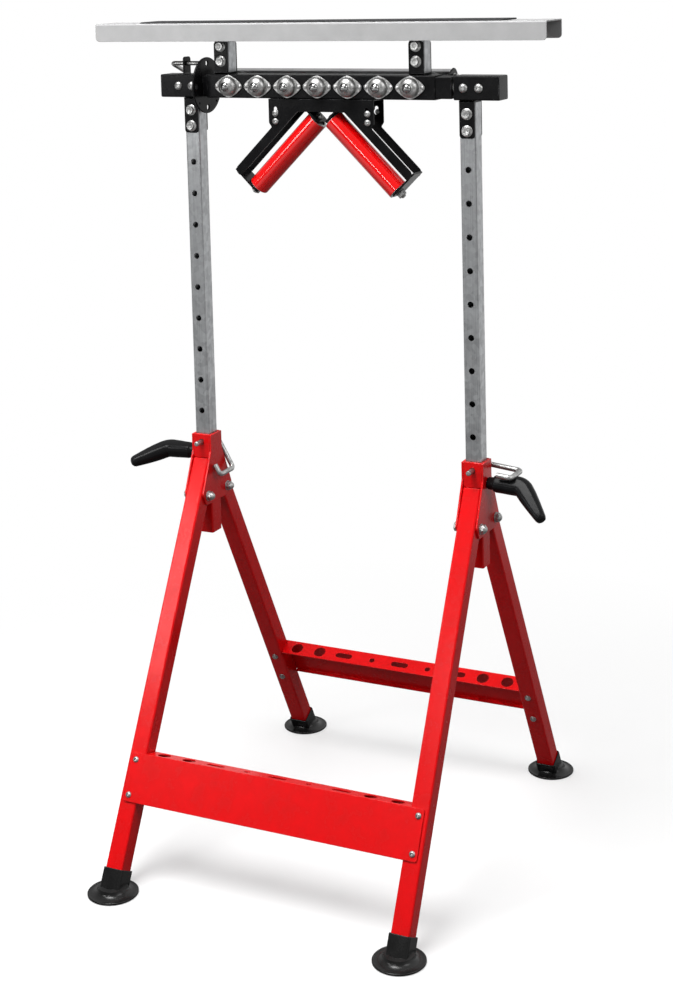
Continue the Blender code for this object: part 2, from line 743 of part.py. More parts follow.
def beam(mats):
    """Square beam with an end wall at each end that runs on the journals."""
    black = mats["black"]
    bm = square_tube(
        BEAM, BEAM_WALL, BLOCK_RADIUS, "yzx", -BEAM_END_X, BEAM_END_X, BEAM_END_WALL, BEAM_END_WALL
    )
    body = finish("beam", bm, black, (STAND_X, 0, AXIS_Z))
    bore = JOURNAL + 2 * SLIDE_GAP
    reach = BEAM_END_X + BEAM_END_WALL
    holes = rod_cutter("beam_bore", bore, "yzx", [(0, 0)], -reach, reach, black, 16)
    holes.location = (STAND_X, 0, AXIS_Z)
    return boolean(body, "DIFFERENCE", [holes])


def index_disc(mats):
    """Disc on the beam's left end with a hole for each position of the head."""
    outer = -(BEAM_END_X + FIT + DISC_THICK)
    inner = -(BEAM_END_X + FIT)
    bore = JOURNAL / 2 + SLIDE_GAP
    r = DISC_RADIUS
    ring = [(outer, bore), (outer, r), (inner, r), (inner, bore), (outer, bore)]
    body = finish("index_disc", turned(ring, "yzx", 24), mats["black"], (STAND_X, 0, AXIS_Z))
    spots = []
    for k in range(INDEX_HOLES):
        angle = 2 * math.pi * k / INDEX_HOLES
        spots.append((INDEX_RADIUS * math.sin(angle), INDEX_RADIUS * math.cos(angle)))
    holes = rod_cutter(
        "index_disc_holes", INDEX_ROD + 2 * FIT, "yzx", spots, outer - PLATE, inner + PLATE, mats["black"], 8
    )
    holes.location = (STAND_X, 0, AXIS_Z)
    return boolean(body, "DIFFERENCE", [holes])


def index_pin(mats):
    """Bent rod that slides in the tab; its nose stands just short of the disc."""
    nose = -(BEAM_END_X + DISC_THICK + 2 * FIT + FIT)
    height = AXIS_Z + INDEX_RADIUS
    x = STAND_X
    points = [
        (x + nose, 0, height),
        (x + INDEX_BEND_X, 0, height),
        (x + INDEX_BEND_X + 2 * MM, 33 * MM, height - 14 * MM),
    ]
    return bent_rod("index_pin", points, INDEX_ROD, 6 * MM, mats["zinc"])


def ball_carrier(mats):
    """Channel round the front of the beam that carries the ball units."""
    mid = CARRIER_IN + CARRIER_SHEET / 2
    path = [(HALF_BEAM, mid), (-mid, mid), (-mid, -mid), (HALF_BEAM, -mid)]
    half = CARRIER_LENGTH / 2
    bm = bent_sheet(path, CARRIER_SHEET, "yzx", -half, half, 1.6 * MM)
    return finish("ball_carrier", bm, mats["black"], (HEAD_X, 0, AXIS_Z))


def unit_outline(angle):
    """Radius of the ball unit's flange: a diamond with swollen sides."""
    a, b = UNIT_HALF
    power = 1.35
    total = abs(math.cos(angle) / a) ** power + abs(math.sin(angle) / b) ** power
    return total ** (-1 / power)


def ball_unit(number, x, mats):
    """Pressed housing with a diamond flange, and its ball."""
    socket = BALL_RADIUS + BALL_GAP
    rings = [
        (0, 1, unit_outline),
        (1.6 * MM, 1, unit_outline),
        (2.4 * MM, 15.4 * MM),
        (7.5 * MM, 14.0 * MM),
        (11.8 * MM, 10.8 * MM),
        (UNIT_RISE, socket + 0.4 * MM),
    ]
    lip = math.asin((UNIT_RISE - BALL_LIFT) / socket)
    for k in range(3):
        angle = lip - (lip + math.radians(62)) * k / 2
        rings.append((BALL_LIFT + socket * math.sin(angle), socket * math.cos(angle)))
    rings.append((BALL_LIFT - socket, 0))
    bm = turned(rings, "xzy", 16)
    bmesh.ops.scale(bm, vec=(1, -1, 1), verts=bm.verts)
    seat = -(CARRIER_OUT + FIT)
    finish(f"ball_unit_{number}", bm, mats["zinc"], (x, seat, AXIS_Z))
    bm = bmesh.new()
    bmesh.ops.create_uvsphere(bm, u_segments=10, v_segments=6, radius=BALL_RADIUS)
    finish(f"ball_{number}", bm, mats["steel"], (x, seat - BALL_LIFT, AXIS_Z))


def table(mats):
    """Downward channel with rounded ends, and the mat on it."""
    half = TABLE_LENGTH / 2
    side = TABLE_DEPTH / 2 - SHEET / 2
    top = TABLE_TOP - SHEET / 2
    low = TABLE_TOP - TABLE_FLANGE
    path = [(-side, low), (-side, top), (side, top), (side, low)]
    bm = bent_sheet(path, SHEET, "yzx", -half, half, 1.8 * MM, TABLE_CORNER)
    finish("table", bm, mats["table"])
    length, width, thick = MAT
    low, high = HEAD_X - length / 2, HEAD_X + length / 2
    outline = fillet(rectangle(low, high, -width / 2, width / 2), 4 * MM)
    finish("table_mat", slab(outline, "xyz", TABLE_TOP + FIT, TABLE_TOP + FIT + thick), mats["mat"])


def stub(side, x, mats):
    """Short square tube with a pad under the table, bolted in its clamp."""
    low = AXIS_Z + CARRIER_OUT + CLAMP_PLATE + 2 * FIT
    high = TABLE_TOP - SHEET - FIT
    length, width, thick = STUB_PAD
    bm = square_tube(POST, POST_WALL, POST_RADIUS, "xyz", low, high - thick / 2)
    bmesh.ops.translate(bm, vec=(x, 0, 0), verts=bm.verts)
    body = finish(f"{side}_stub", bm, mats["galvanised"])
    pad = block(
        f"{side}_stub_pad",
        (x - length / 2, x + length / 2),
        (-width / 2, width / 2),
        (high - thick, high),
        mats["galvanised"],
    )
    boolean(body, "UNION", [pad])
    spots = [(x, AXIS_Z + z) for z in STUB_BOLT_Z]
    holes = rod_cutter(f"{side}_stub_holes", ROD_HOLE, "xzy", spots, -POST, POST, mats["galvanised"], 8)
    return boolean(body, "DIFFERENCE", [holes])


def roller_ear(side, mats):
    """L bracket on the beam's back with a round ear and the roller's stub axle."""
    out = -1 if side == "left" else 1
    black = mats["black"]
    name = f"{side}_roller_bracket"
    seat = HALF_BEAM + FIT
    ear = out * ROLLER_SPAN / 2
    low, high = sorted((ear, ear - out * EAR_PLATE))
    bottom = ROLLER_Z - ROLLER_EAR
    top = ROLLER_Z + ROLLER_EAR
    outline = [(seat, bottom + 3 * MM), (ROLLER_Y, bottom)]
    for k in range(1, 10):
        angle = math.radians(-90 + 18 * k)
        outline.append((ROLLER_Y + ROLLER_EAR * math.cos(angle), ROLLER_Z + ROLLER_EAR * math.sin(angle)))
    outline += [(ROLLER_Y, top), (seat, HALF_BEAM - 1 * MM)]
    place_at = (STAND_X + ROLLER_SHIFT, 0, AXIS_Z)
    body = finish(name, slab(outline, "yzx", low, high), black, place_at)
    span = sorted((ear - out * EAR_FOOT, ear - out * WELD))
    foot_z = (HALF_BEAM - 3 * MM - EAR_FOOT_HEIGHT, HALF_BEAM - 3 * MM)
    foot_plate = block(f"{name}_foot", span, (seat + WELD, seat + EAR_PLATE), foot_z, black)
    foot_plate.location = place_at
    inner = ear - out * (EAR_PLATE + 22 * MM)
    outside = ear + out * 7 * MM
    wide = hexagon(13 * MM)
    stations = [
        (inner, ROD / 2 - 0.6 * MM),
        (inner + out * 0.8 * MM, ROD / 2),
        (ear - out * WELD, ROD / 2),
        (ear - out * WELD, 6.5 * MM, wide),
        (ear + out * 5 * MM, 6.5 * MM, wide),
        (ear + out * 5 * MM, ROD / 2),
        (outside, ROD / 2),
    ]
    axle = finish(f"{name}_axle", turned(stations, "yzx", 12), black)
    axle.location = (place_at[0], ROLLER_Y, AXIS_Z + ROLLER_Z)
    return boolean(body, "UNION", [foot_plate, axle])


def roller_stations(start, length, radius, recess):
    """A roller tube with recessed ends and a bore for its axle."""
    bore = ROD / 2 + SLIDE_GAP
    rim = radius - 2.2 * MM
    end = start + length
    return [
        (start + recess, bore),
        (start + recess, rim),
        (start, rim),
        (start, radius),
        (end, radius),
        (end, rim),
        (end - recess, rim),
        (end - recess, bore),
        (start + recess, bore),
    ]


def long_roller(mats):
    """Steel roller behind the beam."""
    half = ROLLER_SPAN / 2 - EAR_PLATE - 1.2 * MM
    bm = turned(roller_stations(-half, 2 * half, ROLLER_RADIUS, 3 * MM), "yzx", 20)
    place_at = (STAND_X + ROLLER_SHIFT, ROLLER_Y, AXIS_Z + ROLLER_Z)
    return finish("long_roller", bm, mats["steel"], place_at)


def v_frame(out):
    """Place and direction of one V roller: its axis, and the normal away from the roller."""
    start = Vector((V_X, 0, AXIS_Z - V_DROP))
    along = Vector((out * math.sin(V_ANGLE), 0, -math.cos(V_ANGLE)))
    normal = Vector((out * math.cos(V_ANGLE), 0, math.sin(V_ANGLE)))
    return start, along, normal


def v_plate(inner):
    """Outline of one plate, whose arms have their inner edge at a distance from the rollers' axes."""
    top = AXIS_Z - CARRIER_OUT - FIT
    slot = AXIS_Z - V_SLOT_Z
    tab_end = V_START + V_LENGTH + V_TAB_GAP + V_TAB
    halves = {}
    for out in (1, -1):
        start, along, normal = v_frame(out)

        def at(s, n, start=start, along=along, normal=normal):
            p = start + along * s + normal * n
            return (p.x, p.z)

        side = V_X + out * V_HALF_WIDTH
        inner_at = start + normal * inner
        edge_at = start + normal * V_ARM
        notch = (side - out * V_NOTCH - edge_at.x) / along.x
        halves[out] = [
            (side, top),
            (side, AXIS_Z - V_SIDE_DROP),
            at(notch, V_ARM),
            at(tab_end, V_ARM),
            at(tab_end, inner),
            at((inner_at.z - slot) / -along.z, inner),
        ]
    r = ARM_END_RADIUS
    radii = [0, r, r / 2, r, r, r]
    return fillet(halves[1] + halves[-1][::-1], radii + radii[::-1], 3)


def v_bracket(mats):
    """Hanging bracket: two plates with 45-degree arms, end tabs and a saddle between the rollers."""
    black = mats["black"]
    top = AXIS_Z - CARRIER_OUT - FIT
    tab_start = V_START + V_LENGTH + V_TAB_GAP
    tab_end = tab_start + V_TAB
    outer_y = V_HALF_DEPTH
    inner_y = V_HALF_DEPTH - V_PLATE
    body = finish("v_bracket", slab(v_plate(V_FRONT_ARM), "xzy", -outer_y, -inner_y), black)
    adds = [finish("v_rear_plate", slab(v_plate(V_REAR_ARM), "xzy", inner_y, outer_y), black)]
    wide = inner_y + WELD
    side = V_HALF_WIDTH - 1 * MM
    adds.append(
        block("v_top_web", (V_X - side, V_X + side), (-wide, wide), (top - V_PLATE, top - WELD), black)
    )
    holes = []
    for out in (1, -1):
        start, along, normal = v_frame(out)
        ring = []
        for s, n in (
            (tab_start, V_TAB_LOW),
            (tab_end - WELD, V_TAB_LOW),
            (tab_end - WELD, V_ARM - 2 * WELD),
            (tab_start, V_ARM - 2 * WELD),
        ):
            p = start + along * s + normal * n
            ring.append((p.x, p.z))
        adds.append(finish(f"v_end_tab_{out}", slab(ring, "xzy", -wide, wide), black, smooth=False))
    saddle = []
    for out, steps in ((1, (26 * MM, V_TAB_LOW)), (-1, (V_TAB_LOW, 26 * MM))):
        start, along, normal = v_frame(out)
        for n in steps:
            p = start + along * (V_START - V_TAB_GAP - V_TAB) + normal * n
            saddle.append((p.x, p.z))
    bm = bent_sheet(saddle, V_TAB, "xzy", -wide, wide)
    adds.append(finish("v_saddle", bm, black))
    boolean(body, "UNION", adds)
    for out in (1, -1):
        start, along, normal = v_frame(out)
        hole = rod_cutter(f"v_axle_hole_{out}", ROD_HOLE, "xyz", [(0, 0)], 4 * MM, tab_end + V_TAB, black)
        hole.matrix_world = axis_matrix(start, along)
        holes.append(hole)
    across, width, high, low = V_KEYHOLE
    for out in (1, -1):
        x = V_X + out * across
        ring = fillet(rectangle(x - width / 2, x + width / 2, AXIS_Z - low, AXIS_Z - high), width * 0.49, 2)
        holes.append(finish(f"v_keyhole_{out}", slab(ring, "xzy", -2 * outer_y, 2 * outer_y), black))
    return boolean(body, "DIFFERENCE", holes)


def axis_matrix(origin, direction):
    """Places a body that was turned about Z on an axis in the XZ plane."""
    z = direction.normalized()
    y = Vector((0, 1, 0))
    x = y.cross(z)
    rotation = Matrix((x, y, z)).transposed().to_4x4()
    return Matrix.Translation(origin) @ rotation


def v_roller(side, mats):
    """Red roller on its axle, with a nut outside the end tab."""
    out = -1 if side == "left" else 1
    start, along, _ = v_frame(out)
    bm = turned(roller_stations(V_START, V_LENGTH, V_RADIUS, 2.5 * MM), "xyz", 20)
    body = finish(f"{side}_v_roller", bm, mats["red_plastic"])
    body.matrix_world = axis_matrix(start, along)
    tab_end = V_START + V_LENGTH + V_TAB_GAP + V_TAB
    wide = hexagon(13 * MM)
    stations = [
        (V_START - V_TAB_GAP - V_TAB - 4.5 * MM, ROD / 2 - 0.6 * MM),
        (V_START - V_TAB_GAP - V_TAB - 3.9 * MM, ROD / 2),
        (tab_end + FIT, ROD / 2),
        (tab_end + FIT, 6.5 * MM, wide),
        (tab_end + FIT + 6 * MM, 6.5 * MM, wide),
        (tab_end + FIT + 6 * MM, ROD / 2),
        (tab_end + 9 * MM, ROD / 2),
    ]
    axle = finish(f"{side}_v_axle", turned(stations, "xyz", 12), mats["zinc"])
    axle.matrix_world = axis_matrix(start, along)


def pivot_bolts(side, x, mats):
    """Bolts that the legs fold on, with their nuts on the right-hand face."""
    half = GUIDE / 2 + PLATE + FIT
    for end, y in (("front", -PIVOT_Y), ("rear", PIVOT_Y)):
        bm = turned(bolt_stations(-half, half, side == "left"), "yzx", 12)
        finish(f"{end}_{side}_pivot_bolt", bm, mats["zinc"], (x, y, PIVOT_Z))


def lock_pin(side, x, mats):
    """Bent rod through the head and the post, with a loop handle behind."""
    out = 1
    turn = PIN_TURN[SIDES.index(side)]
    way = Vector((out * math.cos(turn), 0, math.sin(turn)))
    centre = Vector((x, 0, LOCK_Z))
    back = centre + Vector((0, PIN_BACK, 0))
    corner = back + way * PIN_RADIAL
    front = corner - Vector((0, PIN_FORWARD, 0))
    points = [centre - Vector((0, PIN_TIP, 0)), back, corner, front, front - way * PIN_RETURN]
    return bent_rod(f"{side}_lock_pin", points, ROD, PIN_BEND, mats["zinc"])


def clamp_lever(side, x, mats):
    """Plastic lever on a screw that presses the post inside its guide."""
    out = -1 if side == "left" else 1
    turn = LEVER_TURN[SIDES.index(side)]
    black = mats["black_plastic"]
    start = GUIDE / 2 + PLATE + FIT
    neck = start + LEVER_NECK
    hub = LEVER_HUB_RADIUS
    r = LEVER_NECK_RADIUS
    tip = POST / 2 + FIT
    stations = [
        (out * tip, ROD / 2 - 0.8 * MM),
        (out * (tip + 0.8 * MM), ROD / 2),
        (out * start, ROD / 2),
        (out * start, hub - 1 * MM),
        (out * (start + 1 * MM), hub),
        (out * (start + LEVER_HUB), hub),
        (out * (start + LEVER_HUB + 2 * MM), r),
        (out * (neck - 6 * MM), r),
        (out * (neck - 2 * MM), r - 2 * MM),
        (out * neck, r - 5 * MM),
    ]
    body = finish(f"{side}_clamp_lever", turned(stations, "yzx", 12), black, (x, 0, CLAMP_SCREW_Z))
    wide, slim = LEVER_ARM_RADII
    arm = turned(
        [
            (-wide * 0.85, wide * 0.5),
            (-wide * 0.4, wide * 0.88),
            (wide * 0.6, wide),
            (LEVER_ARM - slim, slim),
            (LEVER_ARM - slim * 0.3, slim * 0.75),
            (LEVER_ARM, slim * 0.35),
        ],
        "xyz",
        12,
    )
    arm_body = finish(f"{side}_clamp_arm", arm, black)
    swing = Vector((0, math.sin(turn), -math.cos(turn)))
    direction = Vector((out, 0, 0)) * math.sin(LEVER_LEAN) + swing * math.cos(LEVER_LEAN)
    root = Vector((x + out * (neck - wide), 0, CLAMP_SCREW_Z))
    arm_body.matrix_world = Matrix.Translation(root) @ direction.to_track_quat("Z", "X").to_matrix().to_4x4()
    return boolean(body, "UNION", [arm_body])


def pivot(name, location, children):
    """An empty on a joint's axis that carries the pieces that move together."""
    empty = bpy.data.objects.new(name, None)
    empty.empty_display_size = 40 * MM
    bpy.context.scene.collection.objects.link(empty)
    empty.location = location
    for obj in bpy.data.objects:
        if obj.parent is None and obj is not empty and any(obj.name.startswith(c) for c in children):
            attach(obj, empty)
    return empty


def rig():
    """Groups the pieces under an empty for each moving body."""
    pivot("front_legs_pivot", (STAND_X, -PIVOT_Y, PIVOT_Z), (
        "front_left_leg", "front_right_leg", "front_left_foot", "front_right_foot", "front_stretcher"))
    pivot("rear_legs_pivot", (STAND_X, PIVOT_Y, PIVOT_Z), (
        "rear_left_leg", "rear_right_leg", "rear_left_foot", "rear_right_foot", "rear_stretcher"))
    head = pivot("head_axis", (STAND_X, 0, AXIS_Z), (
        "beam", "index_disc", "ball_", "table", "left_stub", "right_stub", "left_roller_bracket",
        "right_roller_bracket", "long_roller", "v_bracket", "left_v_", "right_v_"))
    mast = pivot("mast_slide", (STAND_X, 0, LOCK_Z), (
        "left_post", "right_post", "left_end_block", "right_end_block", "left_journal", "right_journal",
        "index_pin"))
    attach(head, mast)


def build():
    clear_scene()
    mats = {
        "red": material("red_powder_coat", (0.55, 0.006, 0.008), 0.3, 0, 0.4),
        "black": material("black_powder_coat", (0.012, 0.012, 0.013), 0.45, 0, 0.1),
        "galvanised": material("galvanised_steel", (0.36, 0.37, 0.38), 0.42, 0.85),
        "zinc": material("bright_zinc", (0.72, 0.72, 0.72), 0.24, 1.0),
        "steel": material("polished_steel", (0.78, 0.78, 0.78), 0.14, 1.0),
        "table": material("light_grey_coat", (0.55, 0.55, 0.55), 0.42),
        "mat": material("grip_mat", (0.075, 0.075, 0.08), 0.9),
        "red_plastic": material("red_plastic", (0.72, 0.012, 0.012), 0.28),
        "black_plastic": material("black_plastic", (0.014, 0.014, 0.015), 0.38),
        "rubber": material("black_rubber", (0.018, 0.018, 0.018), 0.7),
    }
    for side, x in zip(SIDES, POST_X):
        a_frame_head(side, x, mats)
        pivot_bolts(side, x, mats)
        for end in ("front", "rear"):
            leg(side, end, x, mats)
            foot(side, end, x, mats)
        post(side, x, mats)
        bolts = [AXIS_Z + z for z in BOLT_Z]
        base = AXIS_Z - HALF_BLOCK - FIT
        clamp_bracket(f"{side}_post_clamp", x, base, AXIS_Z - CLAMP_DROP, bolts, mats)
        end_block(side, mats)
        journal(side, mats)
        lock_pin(side, x, mats)
        clamp_lever(side, x, mats)
    for end in ("front", "rear"):
        stretcher(end, mats)
    beam(mats)
    index_disc(mats)
    index_pin(mats)
    ball_carrier(mats)
    first = HEAD_X - BALL_PITCH * (BALL_COUNT - 1) / 2
    for number in range(BALL_COUNT):
        ball_unit(number + 1, first + number * BALL_PITCH, mats)
    table(mats)
    for side, sign in zip(SIDES, (-1, 1)):
        x = HEAD_X + STUB_SHIFT + sign * STUB_SPREAD / 2
        stub(side, x, mats)
        base = AXIS_Z + CARRIER_OUT + FIT
        bolts = [AXIS_Z + z for z in STUB_BOLT_Z]
        clamp_bracket(f"{side}_stub_clamp", x, base, base + STUB_CLAMP_HEIGHT, bolts, mats)
        roller_ear(side, mats)
        v_roller(side, mats)
    long_roller(mats)
    v_bracket(mats)
    rig()
    bpy.context.view_layer.update()


build()
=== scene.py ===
# %% [markdown]
# # A multi-function roller stand
# The real object is a folding workshop stand: two red A-frames, two galvanised posts that slide in
# them, and a black head on top that turns. The head carries a padded table, ball units, a long steel
# roller and a hanging pair of V rollers. The measured CAD model is loaded first as a fixed frame, and
# every visible piece is then made in its place, with the folds, edges and fasteners that a plain
# solid lacks. Working on top of a measured model keeps the proportions right.

# %% Load the measured model
import math

import bmesh
import bpy
from mathutils import Matrix, Vector


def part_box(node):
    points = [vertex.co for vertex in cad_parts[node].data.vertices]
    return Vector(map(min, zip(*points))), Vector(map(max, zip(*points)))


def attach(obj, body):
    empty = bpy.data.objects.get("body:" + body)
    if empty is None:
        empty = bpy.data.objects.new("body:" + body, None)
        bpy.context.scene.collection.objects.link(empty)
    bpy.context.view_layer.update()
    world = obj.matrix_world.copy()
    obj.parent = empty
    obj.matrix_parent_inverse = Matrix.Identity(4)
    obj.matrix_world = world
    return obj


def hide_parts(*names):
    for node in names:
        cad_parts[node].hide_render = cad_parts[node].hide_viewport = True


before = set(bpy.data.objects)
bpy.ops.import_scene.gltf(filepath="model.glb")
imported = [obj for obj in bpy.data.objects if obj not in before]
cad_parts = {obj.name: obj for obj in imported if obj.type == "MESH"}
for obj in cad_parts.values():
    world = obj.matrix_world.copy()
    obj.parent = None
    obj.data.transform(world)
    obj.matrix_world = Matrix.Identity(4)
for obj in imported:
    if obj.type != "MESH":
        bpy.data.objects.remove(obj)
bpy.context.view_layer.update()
scene = bpy.context.scene

# %% [markdown]
# ## The camera
# The photograph was taken from the front right, a little above the table, with a long lens that was
# shifted down so that the posts stay upright in the picture. Blender's camera can shift in the same
# way. The place and angles were fitted to points that are easy to measure: the post holes, the pivot
# bolts, the feet and the corners of the table.

# %% Camera
MM = 0.001


def aim(place, yaw, pitch, roll):
    """Camera matrix for a place and three angles in degrees; yaw 0 looks along +Y."""
    yaw, pitch, roll = (math.radians(angle) for angle in (yaw, pitch, roll))
    ahead = Vector((-math.sin(yaw) * math.cos(pitch), math.cos(yaw) * math.cos(pitch), -math.sin(pitch)))
    right = Vector((math.cos(yaw), math.sin(yaw), 0))
    up = right.cross(ahead)
    across = right * math.cos(roll) + up * math.sin(roll)
    upright = up * math.cos(roll) - right * math.sin(roll)
    matrix = Matrix((across, upright, -ahead)).transposed().to_4x4()
    matrix.translation = place
    return matrix


camera = bpy.data.objects.new("photo_camera", bpy.data.cameras.new("photo_camera"))
scene.collection.objects.link(camera)
camera.matrix_world = aim(Vector((1211.39, -2439.84, 1364.05)) * MM, 25.89, 6.12, -1.41)
camera.data.sensor_width = 36
camera.data.lens = 65.53
camera.data.shift_y = -0.3417
scene.camera = camera
print("camera at", [round(v, 3) for v in camera.location], "lens", camera.data.lens, "mm")

# %% [markdown]
# ## Shader helpers
# A material in Blender is a small network of nodes. The helpers below add a node, link what is
# already a socket and set what is only a number, so that the recipes further down stay readable.

# %% Helpers for shader nodes


def feed(tree, socket, value):
    """Links a socket to an input, or sets a number, vector or colour on it."""
    if isinstance(value, bpy.types.NodeSocket):
        tree.links.new(value, socket)
    elif socket.type == "RGBA" and len(value) == 3:
        socket.default_value = (*value, 1)
    else:
        socket.default_value = value


def add_node(tree, kind, **values):
    """Adds a node. A value named like an input goes to that input; any other is set on the node."""
    node = tree.nodes.new(kind)
    for name, value in values.items():
        socket = node.inputs.get(name.replace("_", " "))
        if socket is None:
            setattr(node, name, value)
        else:
            feed(tree, socket, value)
    return node


def calculate(tree, operation, *values):
    """A Math node on sockets or numbers; returns its result."""
    node = add_node(tree, "ShaderNodeMath", operation=operation)
    for socket, value in zip(node.inputs, values):
        feed(tree, socket, value)
    return node.outputs[0]


def mix_colour(tree, factor, first, second):
    """A colour Mix node; returns its result."""
    node = add_node(tree, "ShaderNodeMix", data_type="RGBA")
    for index, value in ((0, factor), (6, first), (7, second)):
        feed(tree, node.inputs[index], value)
    return node.outputs[2]


def remap(tree, value, low, high, out_low=0.0, out_high=1.0):
    """Maps a range of a value onto another range, clamped."""
    node = add_node(tree, "ShaderNodeMapRange", clamp=True)
    for socket, number in zip(node.inputs, (value, low, high, out_low, out_high)):
        feed(tree, socket, number)
    return node.outputs[0]


print("shader helpers ready")

# %% [markdown]
# ## Studio
# A product photograph has soft light from large panels and a white background. A large lamp above,
# one on the right and a white world give that, and two small lamps in front draw the gloss streaks
# on a leg and on a roller. The Light Path node keeps what the camera sees apart from what lights the
# stand: camera, glossy and transmission rays see plain white, so that steel reflects the same white
# studio, and all other rays get a calmer level that leaves colours as written. Glossy rays see the
# white backdrop behind the stand, and a dim room to the front, to the left and low down; without
# that, black and red paint in front of a white world look washed out.

# %% World and lamps
BACKDROP_SLOPE = 0.585  # how far the backdrop's lower edge sinks towards the sides
FILL_LEVEL = 0.22  # the white world's strength for the rays that only light things


def background_rays(tree):
    """1 for the rays that should see the white background, 0 for the rays that light things."""
    rays = add_node(tree, "ShaderNodeLightPath").outputs
    return calculate(tree, "MAXIMUM", calculate(tree, "MAXIMUM", rays["Is Camera Ray"], rays["Is Glossy Ray"]),
                     rays["Is Transmission Ray"])


def dim_room(tree, way):
    """Strength of the background in a direction: 1, but lower off the backdrop for glossy rays."""
    split = add_node(tree, "ShaderNodeSeparateXYZ")
    feed(tree, split.inputs[0], way)
    east, north, up = split.outputs
    front = remap(tree, north, -0.75, 0.35, 0.3, 1.0)
    left = remap(tree, east, -0.3, 0.0, 0.5, 1.0)
    sink = calculate(tree, "MULTIPLY", calculate(tree, "ABSOLUTE", east), BACKDROP_SLOPE)
    rise = calculate(tree, "SUBTRACT", up, sink)
    low = remap(tree, rise, -0.62, -0.54, 0.12, 1.0)
    reflected = calculate(tree, "MULTIPLY", calculate(tree, "MULTIPLY", front, left), low)
    glossy = add_node(tree, "ShaderNodeLightPath").outputs["Is Glossy Ray"]
    return remap(tree, glossy, 0, 1, 1.0, reflected)


world = bpy.data.worlds.new("studio")
scene.world = world
world.use_nodes = True
tree = world.node_tree
background = tree.nodes["Background"]
background.inputs["Color"].default_value = (1, 1, 1, 1)
way = add_node(tree, "ShaderNodeTexCoord").outputs["Generated"]
strength = remap(tree, background_rays(tree), 0, 1, FILL_LEVEL, 1.0)
feed(tree, background.inputs["Strength"], calculate(tree, "MULTIPLY", dim_room(tree, way), strength))


def softbox(name, place, target, size, energy, height=None):
    """An area lamp that points at a target; with a height it is a strip that leans by 45 degrees."""
    data = bpy.data.lights.new(name, "AREA")
    data.shape = "RECTANGLE"
    data.size = size
    data.size_y = height or size
    data.energy = energy
    obj = bpy.data.objects.new(name, data)
    scene.collection.objects.link(obj)
    obj.location = place
    turn = (Vector(target) - Vector(place)).to_track_quat("-Z", "Y").to_matrix()
    lean = Matrix.Rotation(math.radians(45 if height else 0), 3, "Z")
    obj.rotation_euler = (turn @ lean).to_euler()


softbox("key_softbox", (-0.5, -1.3, 3.7), (0, 0, 0.8), 1.7, 158)
softbox("side_softbox", (2.8, -0.6, 2.6), (0, 0, 0.7), 1.8, 34)
softbox("left_softbox", (-1.2, -1.56, 1.37), (-0.2, -0.1, 0.43), 0.45, 8)
softbox("strip_softbox", (-0.29, -1.95, 1.4), (0.05, 0, 1.09), 0.15, 4.5, 0.5)

# %% [markdown]
# ## Floor
# The floor only has to be pale and to hold the feet's soft shadows. It is a wide disc whose own
# colour fades into the white background away from the stand, so no horizon line shows. For every ray
# but the camera's its paint is dark grey: a photographer puts a dark cloth down for the same reason,
# so that a white floor doesn't light the undersides.

# %% Floor
FLOOR_RADIUS = 6.0
floor_mesh = bpy.data.meshes.new("floor")
bm = bmesh.new()
bmesh.ops.create_circle(bm, cap_ends=True, segments=96, radius=FLOOR_RADIUS)
bm.to_mesh(floor_mesh)
bm.free()
floor = bpy.data.objects.new("floor", floor_mesh)
scene.collection.objects.link(floor)
floor.location.z = -0.0005

floor_paint = bpy.data.materials.new("studio_floor")
floor_paint.use_nodes = True
tree = floor_paint.node_tree
place = add_node(tree, "ShaderNodeTexCoord").outputs["Object"]
distance = add_node(tree, "ShaderNodeVectorMath", operation="LENGTH")
tree.links.new(place, distance.inputs[0])
grain = add_node(tree, "ShaderNodeTexNoise", Scale=9.0, Detail=4.0, Vector=place)
pale = mix_colour(tree, grain.outputs["Fac"], (0.9, 0.9, 0.9), (0.93, 0.93, 0.93))
straight = add_node(tree, "ShaderNodeLightPath").outputs["Is Camera Ray"]
paint = tree.nodes["Principled BSDF"]
feed(tree, paint.inputs["Base Color"], mix_colour(tree, straight, (0.08, 0.08, 0.08), pale))
paint.inputs["Roughness"].default_value = 0.7
glow = add_node(tree, "ShaderNodeEmission", Color=(1, 1, 1, 1))
near = remap(tree, distance.outputs["Value"], 0.3, 1.3, 0.5, 1.0)
far = remap(tree, distance.outputs["Value"], 1.4, 2.4, 0.1, 1.0)
fade = remap(tree, straight, 0, 1, far, near)
seen = calculate(tree, "MULTIPLY", fade, background_rays(tree))
mixer = add_node(tree, "ShaderNodeMixShader")
for socket, value in zip(mixer.inputs, (seen, paint.outputs[0], glow.outputs[0])):
    feed(tree, socket, value)
tree.links.new(mixer.outputs[0], tree.nodes["Material Output"].inputs["Surface"])
floor_mesh.materials.append(floor_paint)
print("floor radius", FLOOR_RADIUS, "m")

# %% [markdown]
# ## Shared surface effects
# Paint, plating and plastic share a few effects: the fine ripple of a coating, edges rubbed bright, whose
# bright colour also paints a highlight along the edges, dust on faces that look up and fine scratches. Each
# effect is a node group with named inputs and outputs.
# It is built once and then placed in each material with its own values, like a stencil that is used
# with different paints. Groups give out only masks, colours and heights; the shader itself stays in
# the material.

# %% Node groups


def effect(name, inputs, outputs):
    """An empty shader node group with its named sockets; returns tree, input and output nodes."""
    group = bpy.data.node_groups.new(name, "ShaderNodeTree")
    kinds = {"value": "NodeSocketFloat", "vector": "NodeSocketVector"}
    for label, (kind, default) in inputs.items():
        socket = group.interface.new_socket(label, in_out="INPUT", socket_type=kinds[kind])
        socket.default_value = default
    for label, kind in outputs.items():
        group.interface.new_socket(label, in_out="OUTPUT", socket_type=kinds[kind])
    start = group.nodes.new("NodeGroupInput")
    end = group.nodes.new("NodeGroupOutput")
    return group, start.outputs, end.inputs


def object_place(tree):
    return add_node(tree, "ShaderNodeTexCoord").outputs["Object"]


